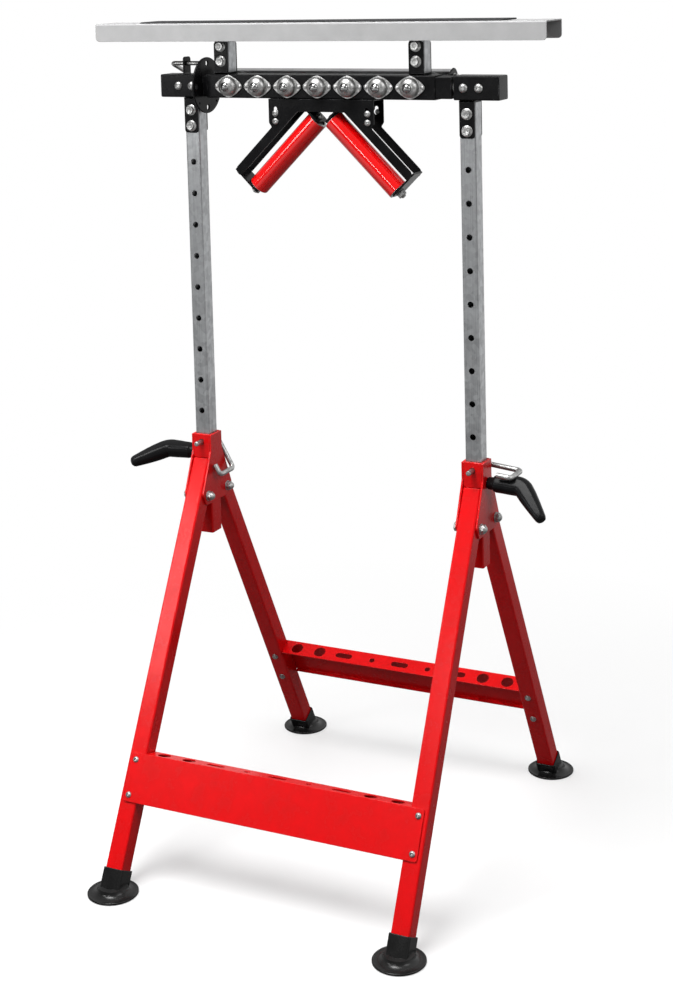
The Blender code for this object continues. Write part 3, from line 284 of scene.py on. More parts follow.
# Coating ripple: a broad soft wave and a fine grain, both in metres on the object.
ripple, start, end = effect(
    "coating_ripple",
    {"Grain Size": ("value", 0.0016), "Ripple": ("value", 1.0)},
    {"Height": "value", "Shade": "value"},
)
where = object_place(ripple)
fine = add_node(ripple, "ShaderNodeTexNoise", Vector=where, Detail=3.0, Roughness=0.55)
feed(ripple, fine.inputs["Scale"], calculate(ripple, "DIVIDE", 1.0, start["Grain Size"]))
broad = add_node(ripple, "ShaderNodeTexNoise", Vector=where, Scale=38.0, Detail=4.0, Roughness=0.6)
feed(ripple, end["Height"], calculate(ripple, "MULTIPLY", fine.outputs["Fac"], start["Ripple"]))
feed(ripple, end["Shade"], remap(ripple, broad.outputs["Fac"], 0.3, 0.7))

# Edge wear and painted edge highlight: where a rounded normal differs from the true one there is an edge; noise
# breaks it up. Its bare colour shows rubbed paint and also paints a highlight along the edges.
wear_and_highlight, start, end = effect(
    "edge_wear_and_highlight",
    {"Width": ("value", 0.0008), "Amount": ("value", 0.5)},
    {"Mask": "value"},
)
soft = add_node(wear_and_highlight, "ShaderNodeBevel", samples=4, Radius=start["Width"])
flat = add_node(wear_and_highlight, "ShaderNodeNewGeometry").outputs["Normal"]
likeness = add_node(wear_and_highlight, "ShaderNodeVectorMath", operation="DOT_PRODUCT")
feed(wear_and_highlight, likeness.inputs[0], soft.outputs["Normal"])
feed(wear_and_highlight, likeness.inputs[1], flat)
edge = remap(wear_and_highlight, likeness.outputs["Value"], 0.995, 0.88)
patches = add_node(wear_and_highlight, "ShaderNodeTexNoise", Vector=object_place(wear_and_highlight), Scale=150.0, Detail=5.0)
worn_and_highlit = remap(wear_and_highlight, patches.outputs["Fac"], 0.42, 0.62)
rubbed_and_highlit = calculate(wear_and_highlight, "MULTIPLY", edge, worn_and_highlit)
feed(wear_and_highlight, end["Mask"], calculate(wear_and_highlight, "MULTIPLY", rubbed_and_highlit, start["Amount"]))

# Dust: settles on faces that look up, in uneven patches.
dust, start, end = effect("settled_dust", {"Amount": ("value", 0.2)}, {"Mask": "value"})
split = add_node(dust, "ShaderNodeSeparateXYZ")
feed(dust, split.inputs[0], add_node(dust, "ShaderNodeNewGeometry").outputs["Normal"])
upward = remap(dust, split.outputs["Z"], 0.35, 1.0)
patches = add_node(dust, "ShaderNodeTexNoise", Vector=object_place(dust), Scale=26.0, Detail=6.0, Roughness=0.7)
uneven = remap(dust, patches.outputs["Fac"], 0.35, 0.75)
settled = calculate(dust, "MULTIPLY", upward, uneven)
feed(dust, end["Mask"], calculate(dust, "MULTIPLY", settled, start["Amount"]))

# Drawn grain: noise stretched along one axis, as left by rolling, drawing or turning.
drawn, start, end = effect(
    "drawn_grain",
    {"Stretch": ("vector", (900.0, 900.0, 12.0))},
    {"Height": "value", "Shade": "value"},
)
scaled = add_node(drawn, "ShaderNodeVectorMath", operation="MULTIPLY")
feed(drawn, scaled.inputs[0], object_place(drawn))
feed(drawn, scaled.inputs[1], start["Stretch"])
lines = add_node(drawn, "ShaderNodeTexNoise", Vector=scaled.outputs[0], Scale=1.0, Detail=4.0, Roughness=0.6)
feed(drawn, end["Height"], lines.outputs["Fac"])
feed(drawn, end["Shade"], remap(drawn, lines.outputs["Fac"], 0.3, 0.7))

# Zinc bloom: cells of slightly different brightness, as hot galvanising leaves.
bloom, start, end = effect(
    "zinc_bloom", {"Cell Size": ("value", 0.006)}, {"Shade": "value", "Height": "value"}
)
cells = add_node(bloom, "ShaderNodeTexVoronoi", Vector=object_place(bloom))
feed(bloom, cells.inputs["Scale"], calculate(bloom, "DIVIDE", 1.0, start["Cell Size"]))
tone = add_node(bloom, "ShaderNodeSeparateColor")
feed(bloom, tone.inputs[0], cells.outputs["Color"])
place = object_place(bloom)
cloud = add_node(bloom, "ShaderNodeTexNoise", Vector=place, Scale=45.0, Detail=6.0, Roughness=0.65)
mixed = calculate(bloom, "ADD", calculate(bloom, "MULTIPLY", tone.outputs[0], 0.45), cloud.outputs["Fac"])
feed(bloom, end["Shade"], remap(bloom, mixed, 0.45, 1.0))
feed(bloom, end["Height"], cloud.outputs["Fac"])
print("groups:", [g.name for g in bpy.data.node_groups])

# %% [markdown]
# ## Finishes
# Each finish starts from its colour in the photograph and then gets what makes it real: powder coat has a
# slight ripple and rubbed edges, whose bright colour also paints a highlight along the edges, galvanised tube
# has bloom and drawn grain, bright zinc has fine turning marks, rubber has dust. One function places the
# groups, so a finish is a list of values, and the values are what make a gloss paint differ from a matt rubber.

# %% Materials
GROUPS = {"ripple": ripple, "wear_and_highlight": wear_and_highlight, "dust": dust, "drawn": drawn, "bloom": bloom}


def place_group(tree, name, **values):
    node = tree.nodes.new("ShaderNodeGroup")
    node.node_tree = GROUPS[name]
    for label, value in values.items():
        feed(tree, node.inputs[label.replace("_", " ")], value)
    return node.outputs


def new_finish(name, roughness, metallic=0.0, coat=0.0, specular=0.3):
    """A material with its Principled shader's plain numbers set; returns it, its tree and its inputs."""
    material = bpy.data.materials.new(name)
    material.use_nodes = True
    shader = material.node_tree.nodes["Principled BSDF"]
    shader.inputs["Roughness"].default_value = roughness
    shader.inputs["Metallic"].default_value = metallic
    shader.inputs["Coat Weight"].default_value = coat
    shader.inputs["Coat Roughness"].default_value = 0.12
    shader.inputs["Specular IOR Level"].default_value = specular
    return material, material.node_tree, shader.inputs


def raise_bump(tree, inputs, height, strength, distance):
    bump = add_node(tree, "ShaderNodeBump", Height=height, Strength=strength, Distance=distance)
    feed(tree, inputs["Normal"], bump.outputs[0])


def coated(name, colour, deep, bare_and_highlight, roughness, coat, worn_and_highlit, dusty, grain, bumpy, specular):
    """Paint or powder coat over steel."""
    material, tree, inputs = new_finish(name, roughness, 0.0, coat, specular)
    skin = place_group(tree, "ripple", Grain_Size=grain)
    # The edge mask lays the bare colour on rubbed edges, and this also paints a highlight along every edge.
    rubbed_and_highlit = place_group(tree, "wear_and_highlight", Amount=worn_and_highlit)["Mask"]
    settled = place_group(tree, "dust", Amount=dusty)["Mask"]
    tone = mix_colour(tree, skin["Shade"], colour, deep)
    tone = mix_colour(tree, settled, tone, (0.42, 0.4, 0.38))
    feed(tree, inputs["Base Color"], mix_colour(tree, rubbed_and_highlit, tone, bare_and_highlight))
    rough = remap(tree, skin["Shade"], 0, 1, roughness * 0.88, roughness * 1.15)
    feed(tree, inputs["Roughness"], calculate(tree, "ADD", rough, calculate(tree, "MULTIPLY", settled, 0.3)))
    feed(tree, inputs["Metallic"], calculate(tree, "MULTIPLY", rubbed_and_highlit, 0.6))
    raise_bump(tree, inputs, skin["Height"], bumpy, 0.0004)
    return material


def plated(name, bright, dull, roughness, bump, cell, stretch):
    """Zinc, galvanised or bare steel."""
    material, tree, inputs = new_finish(name, roughness, 1.0)
    cells = place_group(tree, "bloom", Cell_Size=cell)
    lines = place_group(tree, "drawn", Stretch=stretch)
    both = calculate(tree, "MULTIPLY", calculate(tree, "ADD", cells["Shade"], lines["Shade"]), 0.5)
    feed(tree, inputs["Base Color"], mix_colour(tree, both, bright, dull))
    feed(tree, inputs["Roughness"], remap(tree, both, 0, 1, roughness * 0.8, roughness * 1.25))
    raise_bump(tree, inputs, lines["Height"], bump, 0.0003)
    return material


# Colour, deep colour, bare edge colour that also paints the edge highlight, then roughness, coat, wear with
# edge highlight, dust, grain size, bump and specular.
COATED = {
    "red_powder_coat": ((0.7, 0.003, 0.005), (0.6, 0.002, 0.003), (0.8, 0.25, 0.22),
                        0.26, 0.06, 0.3, 0.006, 0.0016, 0.06, 0.14),
    "black_powder_coat": ((0.003, 0.003, 0.0034), (0.006, 0.006, 0.0064), (0.2, 0.2, 0.21),
                          0.26, 0.0, 0.4, 0.006, 0.0012, 0.1, 0.09),
    "light_grey_coat": ((0.4, 0.4, 0.402), (0.36, 0.36, 0.362), (0.25, 0.25, 0.25),
                        0.4, 0.0, 0.2, 0.02, 0.0016, 0.06, 0.2),
    "grip_mat": ((0.035, 0.035, 0.036), (0.055, 0.055, 0.057), (0.16, 0.16, 0.16),
                 0.85, 0.0, 0.3, 0.02, 0.0009, 0.5, 0.08),
    "red_plastic": ((0.74, 0.002, 0.003), (0.66, 0.002, 0.002), (0.85, 0.2, 0.18),
                    0.1, 0.1, 0.1, 0.0, 0.006, 0.0, 0.5),
    "black_plastic": ((0.005, 0.005, 0.0055), (0.009, 0.009, 0.0095), (0.05, 0.05, 0.05),
                      0.25, 0.0, 0.3, 0.004, 0.0007, 0.2, 0.08),
    "black_rubber": ((0.005, 0.005, 0.005), (0.009, 0.009, 0.009), (0.05, 0.05, 0.05),
                     0.24, 0.0, 0.3, 0.004, 0.0011, 0.1, 0.3),
}
# Bright colour, dull colour, roughness, bump, cell size and the grain's stretch along X, Y and Z.
PLATED = {
    "galvanised_steel": ((0.43, 0.44, 0.45), (0.22, 0.225, 0.23), 0.34, 0.08, 0.007, (700.0, 700.0, 9.0)),
    "bright_zinc": ((0.56, 0.56, 0.55), (0.18, 0.18, 0.18), 0.4, 0.15, 0.0022, (600.0, 60.0, 600.0)),
    "shaded_ball_steel": ((0.36, 0.36, 0.36), (0.26, 0.26, 0.26), 0.14, 0.02, 0.02, (40.0, 500.0, 500.0)),
    "polished_steel": ((0.78, 0.78, 0.78), (0.58, 0.58, 0.59), 0.2, 0.03, 0.02, (40.0, 500.0, 500.0)),
}
finishes = {name: coated(name, *values) for name, values in COATED.items()}
finishes.update({name: plated(name, *values) for name, values in PLATED.items()})
# The balls get a darker copy of the polished steel, a painted shade that dims their reflections and the lamp's
# highlight on them.
print("finishes:", sorted(finishes))

# %% [markdown]
# ## Making parts the way a workshop does
# Nearly everything here is cut sheet, square tube, turned steel or bent rod, so there are four tools.
# A closed 2D curve with holes, given a thickness and a rounded edge, is exactly a cut sheet, and a
# square ring of great thickness is a tube. A profile spun about an axis is a turned part. A 3D curve
# with a round section is a rod. All sizes are in millimetres until a piece is joined.

# %% Outlines
X, Y, Z = Vector((1, 0, 0)), Vector((0, 1, 0)), Vector((0, 0, 1))


def rounded(points, radius, steps=6, closed=True):
    """Rounds the corners of an outline or route; radius is one value or one for each corner."""
    spots = [Vector(p) for p in points]
    out = []
    for i, here in enumerate(spots):
        r = radius[i] if isinstance(radius, (list, tuple)) else radius
        if r <= 0 or (not closed and i in (0, len(spots) - 1)):
            out.append(here)
            continue
        a = (spots[i - 1] - here).normalized()
        b = (spots[(i + 1) % len(spots)] - here).normalized()
        half = a.angle(b) / 2
        centre = here + (a + b).normalized() * (r / math.sin(half))
        first = here + a * (r / math.tan(half)) - centre
        last = here + b * (r / math.tan(half)) - centre
        sweep = math.pi - 2 * half
        for k in range(steps + 1):
            t = k / steps
            turn = first * (math.sin((1 - t) * sweep) / math.sin(sweep))
            out.append(centre + turn + last * (math.sin(t * sweep) / math.sin(sweep)))
    return out


def rectangle(width, height, x=0.0, y=0.0):
    a, b = width / 2, height / 2
    return [(x - a, y - b), (x + a, y - b), (x + a, y + b), (x - a, y + b)]


def circle(radius, x=0.0, y=0.0, steps=40):
    turns = [2 * math.pi * k / steps for k in range(steps)]
    return [(x + radius * math.cos(t), y + radius * math.sin(t)) for t in turns]


print("a rounded square has", len(rounded(rectangle(25, 25), 2)), "points")

# %% Sheet, lathe and rod


def cut_sheet(outline, holes=(), thick=2.0, edge=0.3):
    """A flat piece in the XY plane from z = 0 to its thickness, with rounded edges."""
    curve = bpy.data.curves.new("cut", "CURVE")
    curve.dimensions = "2D"
    curve.fill_mode = "BOTH"
    curve.extrude = thick / 2 - edge
    curve.bevel_depth = edge
    curve.bevel_resolution = 1
    curve.offset = -edge
    for loop in (outline, *holes):
        spline = curve.splines.new("POLY")
        spline.points.add(len(loop) - 1)
        for point, spot in zip(spline.points, loop):
            point.co = (spot[0], spot[1], 0, 1)
        spline.use_cyclic_u = True
    carrier = bpy.data.objects.new("cut", curve)
    mesh = bpy.data.meshes.new_from_object(carrier)
    bpy.data.objects.remove(carrier)
    mesh.transform(Matrix.Translation((0, 0, thick / 2)))
    return mesh


def turn_on_lathe(profile, flats=None, segments=48):
    """Spins a profile of (radius, height) about Z; flats cuts a hexagon of that width from it."""
    bm = bmesh.new()
    rings = []
    for radius, height in profile:
        ring = []
        for i in range(segments if radius > 0 else 1):
            angle = 2 * math.pi * i / segments
            r = radius
            if flats:
                r = min(r, flats / 2 / math.cos(angle % (math.pi / 3) - math.pi / 6))
            ring.append(bm.verts.new((r * math.cos(angle), r * math.sin(angle), height)))
        rings.append(ring)
    for a, b in zip(rings, rings[1:]):
        for i in range(segments):
            j = (i + 1) % segments
            corners = [a[i % len(a)], a[j % len(a)], b[j % len(b)], b[i % len(b)]]
            corners = list(dict.fromkeys(corners))
            if len(corners) > 2:
                bm.faces.new(corners)
    mesh = bpy.data.meshes.new("turned")
    bm.to_mesh(mesh)
    bm.free()
    return mesh


def bend_rod(route, diameter, bend):
    """A round rod along a route, with its ends slightly chamfered."""
    curve = bpy.data.curves.new("rod", "CURVE")
    curve.dimensions = "3D"
    curve.bevel_depth = diameter / 2
    curve.bevel_resolution = 6
    curve.use_fill_caps = True
    spots = rounded(route, bend, 10, closed=False)
    tips = [spots[0] + (spots[1] - spots[0]).normalized(), spots[-1] + (spots[-2] - spots[-1]).normalized()]
    spots = [spots[0], tips[0], *spots[1:-1], tips[1], spots[-1]]
    spline = curve.splines.new("POLY")
    spline.points.add(len(spots) - 1)
    for point, spot in zip(spline.points, spots):
        point.co = (*spot, 1)
    spline.points[0].radius = spline.points[-1].radius = 0.78
    carrier = bpy.data.objects.new("rod", curve)
    mesh = bpy.data.meshes.new_from_object(carrier)
    bpy.data.objects.remove(carrier)
    return mesh


print("a 2 mm washer has", len(cut_sheet(circle(8), [circle(4)]).polygons), "faces")

# %% [markdown]
# ## Laying and joining
# A cut part is made flat and then laid in its place: `lay` gives the matrix that puts its X and Y
# along two directions of the stand. `join` puts the parts of one real piece together, gives it its
# finish, lets it ride on the CAD body that moves it, and hides the CAD solid that it stands for. A
# Weighted Normal modifier keeps large flats flat while small roundings stay smooth.

# %% Placing and joining


def lay(origin, across=X, up=Y):
    """Matrix that puts a part's X along one direction, its Y along another and its Z out of both."""
    across, up = Vector(across).normalized(), Vector(up).normalized()
    matrix = Matrix((across, up, across.cross(up))).transposed().to_4x4()
    matrix.translation = origin
    return matrix


def moved(parts, matrix):
    return [(mesh, matrix @ place) for mesh, place in parts]


def trim(part, spot, away):
    """Cuts a placed part along a plane and drops what lies beyond it."""
    mesh, matrix = part
    bm = bmesh.new()
    bm.from_mesh(mesh)
    bm.transform(matrix)
    everything = [*bm.verts, *bm.edges, *bm.faces]
    bmesh.ops.bisect_plane(bm, geom=everything, plane_co=spot, plane_no=away, clear_outer=True)
    kept = bpy.data.meshes.new("trimmed")
    bm.to_mesh(kept)
    bm.free()
    return kept, Matrix.Identity(4)


piece_count = 0


def join(name, parts, finish, body, replaces=(), smooth=50):
    """Joins placed parts into one piece on a body, with one of the finishes above."""
    global piece_count
    bm = bmesh.new()
    for mesh, matrix in parts:
        copy = mesh.copy()
        copy.transform(matrix)
        bm.from_mesh(copy)
        bpy.data.meshes.remove(copy)
    bmesh.ops.scale(bm, vec=(MM, MM, MM), verts=bm.verts)
    bmesh.ops.remove_doubles(bm, verts=bm.verts, dist=1e-7)
    bmesh.ops.recalc_face_normals(bm, faces=bm.faces)
    mesh = bpy.data.meshes.new(name)
    bm.to_mesh(mesh)
    bm.free()
    mesh.shade_smooth()
    mesh.set_sharp_from_angle(angle=math.radians(smooth))
    mesh.materials.append(finishes[finish])
    obj = bpy.data.objects.new(name, mesh)
    scene.collection.objects.link(obj)
    steady = obj.modifiers.new("steady_flats", "WEIGHTED_NORMAL")
    steady.keep_sharp = True
    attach(obj, body)
    if replaces:
        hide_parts(*([replaces] if isinstance(replaces, str) else replaces))
    piece_count += 1
    return obj


def box_mm(node):
    low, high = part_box(node)
    return low / MM, high / MM


def middle(node):
    low, high = box_mm(node)
    return (low + high) / 2


print("left post's middle:", [round(v, 1) for v in middle("left_post")])

# %% [markdown]
# ## Square tube
# A tube's section is a rounded square ring. Where it has cross holes, as the posts have, a plain
# extrusion can't hold them, so the four walls are cut as sheets, the front and back with their holes,
# and four quarter-round corners close the gaps. That gives clean round holes without a Boolean.

# %% Tubes


def square_tube(size, wall, radius, length, edge=0.25):
    inner = size - 2 * wall
    ring = rounded(rectangle(size, size), radius)
    bore = rounded(rectangle(inner, inner), max(radius - wall, 0.5))
    return [(cut_sheet(ring, [bore], length, edge), Matrix.Identity(4))]


def drilled_tube(size, wall, radius, length, holes):
    """A tube along Z with round holes (height, diameter) through its front and back."""
    half, flat = size / 2, size - 2 * radius
    strip = rectangle(flat, length, 0, length / 2)
    drilled = cut_sheet(strip, [circle(d / 2, 0, z, 28) for z, d in holes], wall, 0)
    plain = cut_sheet(strip, (), wall, 0)
    parts = [
        (drilled, lay((0, -half + wall, 0), X, Z)),
        (drilled, lay((0, half, 0), X, Z)),
        (plain, lay((-half, 0, 0), Y, Z)),
        (plain, lay((half - wall, 0, 0), Y, Z)),
    ]
    arc = [math.pi / 2 * k / 6 for k in range(7)]
    inner = max(radius - wall, 0.3)
    quarter = [(radius * math.cos(t), radius * math.sin(t)) for t in arc]
    quarter += [(inner * math.cos(t), inner * math.sin(t)) for t in reversed(arc)]
    corner = cut_sheet(quarter, (), length, 0)
    for k in range(4):
        turn = Matrix.Rotation(k * math.pi / 2, 4, "Z")
        parts.append((corner, turn @ Matrix.Translation((flat / 2, flat / 2, 0))))
    return parts


print("drilled tube parts:", len(drilled_tube(25, 1.5, 2, 100, [(50, 9)])))

# %% [markdown]
# ## Fasteners
# Bolts and nuts are small, but they are what the eye checks first on a piece of workshop equipment.
# Each is a turned profile; a hexagon is the same profile limited to its flats, which gives the curved
# chamfer of a real nut for free. The free end of a bolt shows its thread as fine rings.

# %% Bolts, nuts and screws


def washer(radius=8.0, hole=4.2, thick=1.5):
    return cut_sheet(circle(radius), [circle(hole)], thick, 0.35)


def thread(radius, low, high, pitch=1.25):
    """Profile of a threaded bolt end with a chamfered tip."""
    profile = [(radius, low)]
    height = low + 0.4
    while height < high - pitch:
        profile += [(radius, height), (radius * 0.86, height + pitch / 2)]
        height += pitch
    return profile + [(radius, high - 0.9), (radius * 0.75, high), (0, high)]


def through_bolt(low, high, end, shank=4.0, flats=13.0, thin=1.3):
    """A bolt along Z through a grip from low to high: head below, nut above, washers under both."""
    corner = flats / 2 / math.cos(math.pi / 6)
    head = [(0, -5.2), (corner * 0.8, -5.2), (corner, -4.5), (corner, 0), (0, 0)]
    nut = [(shank, 0), (corner * 0.93, 0), (corner, 0.5), (corner, 4.6), (corner * 0.86, 5.2), (shank, 5.2)]
    parts = [
        (washer(thick=thin), Matrix.Translation((0, 0, low - thin))),
        (turn_on_lathe(head, flats), Matrix.Translation((0, 0, low - thin + 0.4))),
        (turn_on_lathe([(shank, low - 1), (shank, high + 4)]), Matrix.Identity(4)),
        (washer(thick=thin), Matrix.Translation((0, 0, high))),
        (turn_on_lathe(nut, flats), Matrix.Translation((0, 0, high + thin))),
    ]
    top = high + thin + 5.2
    if end == "dome":
        cap = [(5.6, -0.4), (5.7, 1.0), (5.0, 2.8), (3.4, 4.2), (1.6, 4.8), (0, 5.0)]
        parts.append((turn_on_lathe(cap), Matrix.Translation((0, 0, top))))
    else:
        collar = [(5.9, -0.6), (5.9, 0.6), (5.2, 1.5), (4.1, 1.6)]
        parts.append((turn_on_lathe(collar), Matrix.Translation((0, 0, top))))
        parts.append((turn_on_lathe(thread(shank - 0.1, top, top + 3.2)), Matrix.Identity(4)))
    return parts


def pan_screw(radius=5.0, high=3.0):
    """A button-head screw with a hexagon socket, standing on z = 0."""
    rim = radius * 0.42
    head = [(radius, 0), (radius, 0.5), (radius * 0.9, high * 0.55), (radius * 0.66, high * 0.9), (rim, high)]
    socket = [(rim, high), (radius * 0.4, high - 1.4), (0, high - 1.7)]
    return [(turn_on_lathe(profile), Matrix.Identity(4)) for profile in (head, socket)]


print("a through bolt has", len(through_bolt(-18, 18, "dome")), "parts")

# %% [markdown]
# ## Sizes shared by the frame
# The names below are the stand's own measures, in millimetres. Places are read from the CAD solids,
# so the dressed pieces stay where the measured ones are.

# %% Shared sizes
SIDES = ("left", "right")
ENDS = (("front", -1), ("rear", 1))
POST_AT = [middle(f"{side}_post").x for side in SIDES]
STAND_AT = sum(POST_AT) / 2
GUIDE = 29.0
GUIDE_LOW, GUIDE_HIGH = (round(v.z, 2) for v in box_mm("left_frame_head"))
STRAP = 37.8
LOCK_Z = 609.3
PIVOT = middle("front_left_pivot_bolt")
LEG = 28.4
FOOT_Y = 318.0
TILT = math.atan2(FOOT_Y - 36, 524)
AXIS = middle("beam").z
print("posts at", [round(x, 1) for x in POST_AT], "head axis at", round(AXIS, 1))

# %% [markdown]
# ## A-frame heads
# Each head is a guide tube with a plate welded on either side and a strap front and back at the top.
# The plates are cut sheet with rounded corners, laid upright beside the tube.

# %% Frame heads
for side, x in zip(SIDES, POST_AT):
    length = GUIDE_HIGH - GUIDE_LOW
    parts = moved(square_tube(GUIDE, 1.5, 2.6, length), lay((x, 0, GUIDE_LOW)))
    half_cheek = [(17.2, GUIDE_HIGH - 0.2), (17.2, 595), (46, 530), (36, 512)]
    outline = half_cheek + [(-y, z) for y, z in reversed(half_cheek)]
    cheek = cut_sheet(rounded(outline, [1, 6, 6, 4, 4, 6, 6, 1]), (), 3.0, 0.5)
    parts += [(cheek, lay((x - 17.5, 0, 0), Y, Z)), (cheek, lay((x + 14.5, 0, 0), Y, Z))]
    strap = rounded(rectangle(GUIDE - 0.4, STRAP, 0, GUIDE_HIGH - STRAP / 2), 0.6)
    strap = cut_sheet(strap, [circle(4.6, 0, LOCK_Z)], 3.0, 0.5)
    parts += [(strap, lay((x, -14.4, 0), X, Z)), (strap, lay((x, 17.4, 0), X, Z))]
    join(f"{side}_head_weldment", parts, "red_powder_coat", "base", f"{side}_frame_head")

for side, x in zip(SIDES, POST_AT):
    for end, out in ENDS:
        bolt = through_bolt(-17.6, 17.6, "dome" if side == "left" else "lock")
        node = f"{end}_{side}_pivot_bolt"
        spot = lay((x, out * abs(PIVOT.y), PIVOT.z), Y, Z)
        join(f"{node}_set", moved(bolt, spot), "bright_zinc", "base", node)
print("pieces so far:", piece_count)

# %% [markdown]
# ## Legs and feet
# A leg is square tube that leans outwards and is cut level under the strap and upright where it
# meets the guide tube. The two cuts are made with a plane, as a saw would, and a small plate caps the
# top. The rubber foot is a turned base with a hollow flank and a raised rim, and a square boot that
# grips the leg.

# %% Legs and feet
BOOT = LEG + 5.0
FLANK = [(0, 0), (37, 0), (38, 0.9), (38, 2.8), (37.2, 3.5), (35.8, 3.5), (34.8, 2.7), (30, 3.4)]
FLANK += [(25, 5.4), (22.6, 8.2), (21.4, 11.6), (15, 13.5)]
for end, out in ENDS:
    for side, x in zip(SIDES, POST_AT):
        top = box_mm(f"{end}_{side}_leg")[1].z
        lean = Matrix.Translation((x, out * FOOT_Y, 0)) @ Matrix.Rotation(out * TILT, 4, "X")
        tube = moved(square_tube(LEG, 1.5, 3.0, 680), lean @ Matrix.Translation((0, 0, 17)))[0]
        tube = trim(tube, (0, 0, top), Z)
        tube = trim(tube, (0, out * (GUIDE / 2 + 0.3), 0), -out * Y)
        plug = cut_sheet(rounded(rectangle(LEG - 1.2, 4.6), 1), (), 1.5, 0.3)
        plug = (plug, lay((x, out * 17.3, top - 1.6)))
        join(f"{end}_{side}_leg_tube", [tube, plug], "red_powder_coat", f"{end}_legs", f"{end}_{side}_leg")

        base = (turn_on_lathe(FLANK, segments=64), Matrix.Translation((x, out * FOOT_Y, 0)))
        boot = moved(square_tube(BOOT, 2.2, 4.5, 30, 0.8), lean @ Matrix.Translation((0, 0, 4)))[0]
        boot = trim(boot, (0, 0, 2.5), -Z)
        join(f"{end}_{side}_boot", [base, boot], "black_rubber", f"{end}_legs", f"{end}_{side}_foot")
print("pieces so far:", piece_count)

# %% [markdown]
# ## Stretchers
# A stretcher ties two legs together and doubles as a tool rack: its top flange has round holes and
# slots. Web, flange and lip are cut as sheets that meet at the folds, and the front one has a hem
# along its flange. The web runs over the legs and is held by two screws at each end.

# %% Stretchers
WEB_HEIGHT, FLANGE, LIP, HEM = 69.0, 28.0, 7.0, 12.0
SPAN = POST_AT[1] - POST_AT[0]
SMALL_NUT = [(0, 4.4), (2.6, 4.4), (2.6, 3.2), (3.8, 3.2), (4.6, 2.8), (4.8, 0.8), (4.8, 0)]
# The height of the web's top edge above the floor, and how many degrees the flange tips up.
RACKS = {"front": (175, 14), "rear": (184, 2)}
for end, out in ENDS:
    top, tip_up = RACKS[end]
    opening, row = math.radians(tip_up), FLANGE / 2
    web_at = LEG / 2 + 1.3
    clear = SPAN - LEG - 0.6
    flip = Matrix.Scale(-1, 4, Y) if out < 0 else Matrix.Identity(4)
    frame_at = Matrix.Translation((STAND_AT, out * FOOT_Y, 0)) @ Matrix.Rotation(out * TILT, 4, "X")
    frame_at = frame_at @ Matrix.Translation((0, 0, top / math.cos(TILT))) @ flip
    web = cut_sheet(rounded(rectangle(SPAN + 16, WEB_HEIGHT + 2, 0, -WEB_HEIGHT / 2), 4), (), 2.0, 0.5)
    inward = Vector((0, -math.cos(opening), math.sin(opening)))
    holes = []
    for s in (-1, 1):
        holes += [circle(10, s * 150, row), circle(10, s * 193, row), circle(4.5, s * 51, row, 24)]
    for slot_x in (-104, 0, 104):
        holes.append(rounded(rectangle(30, 10, slot_x, row), 4.9))
    flange = cut_sheet(rectangle(clear, FLANGE, 0, FLANGE / 2), holes, 2.0, 0.4)
    lip = cut_sheet(rectangle(clear, LIP, 0, LIP / 2), (), 2.0, 0.4)
    parts = [
        (web, lay((0, web_at + 1, 0), X, Z)),
        (flange, lay(Vector((0, web_at, 0)) - X.cross(inward), X, inward)),
        (lip, lay((0, web_at, -WEB_HEIGHT + 1), X, -Y)),
    ]
    if end == "front":
        hem = cut_sheet(rectangle(clear, HEM, 0, -HEM / 2), (), 2.0, 0.4)
        parts.append((hem, lay(Vector((0, web_at, 0)) + inward * (FLANGE - 0.2), X, Z)))
    node = f"{end}_stretcher"
    join(f"{node}_channel", moved(parts, frame_at), "red_powder_coat", f"{end}_legs", node)

    screws = []
    for s in (-1, 1):
        for drop in (9, 60):
            seat = lay((s * SPAN / 2, web_at + 1, -drop), X, -Z)
            screws += moved(pan_screw(4.6, 2.6), frame_at @ seat)
            nut_seat = lay((s * SPAN / 2, -LEG / 2, -drop), X, Z)
            nut = turn_on_lathe(SMALL_NUT, 8.6)
            screws += [(washer(5.2, 3.2, 0.9), frame_at @ nut_seat), (nut, frame_at @ nut_seat)]
    join(f"{node}_screws", screws, "bright_zinc", f"{end}_legs")
print("pieces so far:", piece_count)

# %% [markdown]
# ## Posts
# The galvanised posts slide in the guides and are held by a pin through one of their holes, 50 mm
# apart. They are the scale of the whole object, so their holes are cut exactly where the CAD has them.

# %% Posts
HOLE_TOP, PITCH = 1059.3, 50.0
for side, x in zip(SIDES, POST_AT):
    low, high = (corner.z for corner in box_mm(f"{side}_post"))
    holes = [(HOLE_TOP - k * PITCH - low, 9.5) for k in range(12)]
    post = drilled_tube(25, 1.5, 2.0, high - low, holes)
    join(f"{side}_post_tube", moved(post, lay((x, 0, low))), "galvanised_steel", "mast", f"{side}_post")
print("post length", round(high - low, 1), "mm, pieces so far:", piece_count)

# %% [markdown]
# ## Clamp brackets
# Four folded U brackets bolt the head to the posts and the table to its stubs. Two cheeks and a base
# are cut as sheets, with the free corners rounded. The bolts have wide flange heads in front and
# nuts behind, so no loose washers are needed.

# %% Clamp brackets
CLAMP, CLAMP_SHEET, CLAMP_FACE = 24.0, 2.5, 12.8


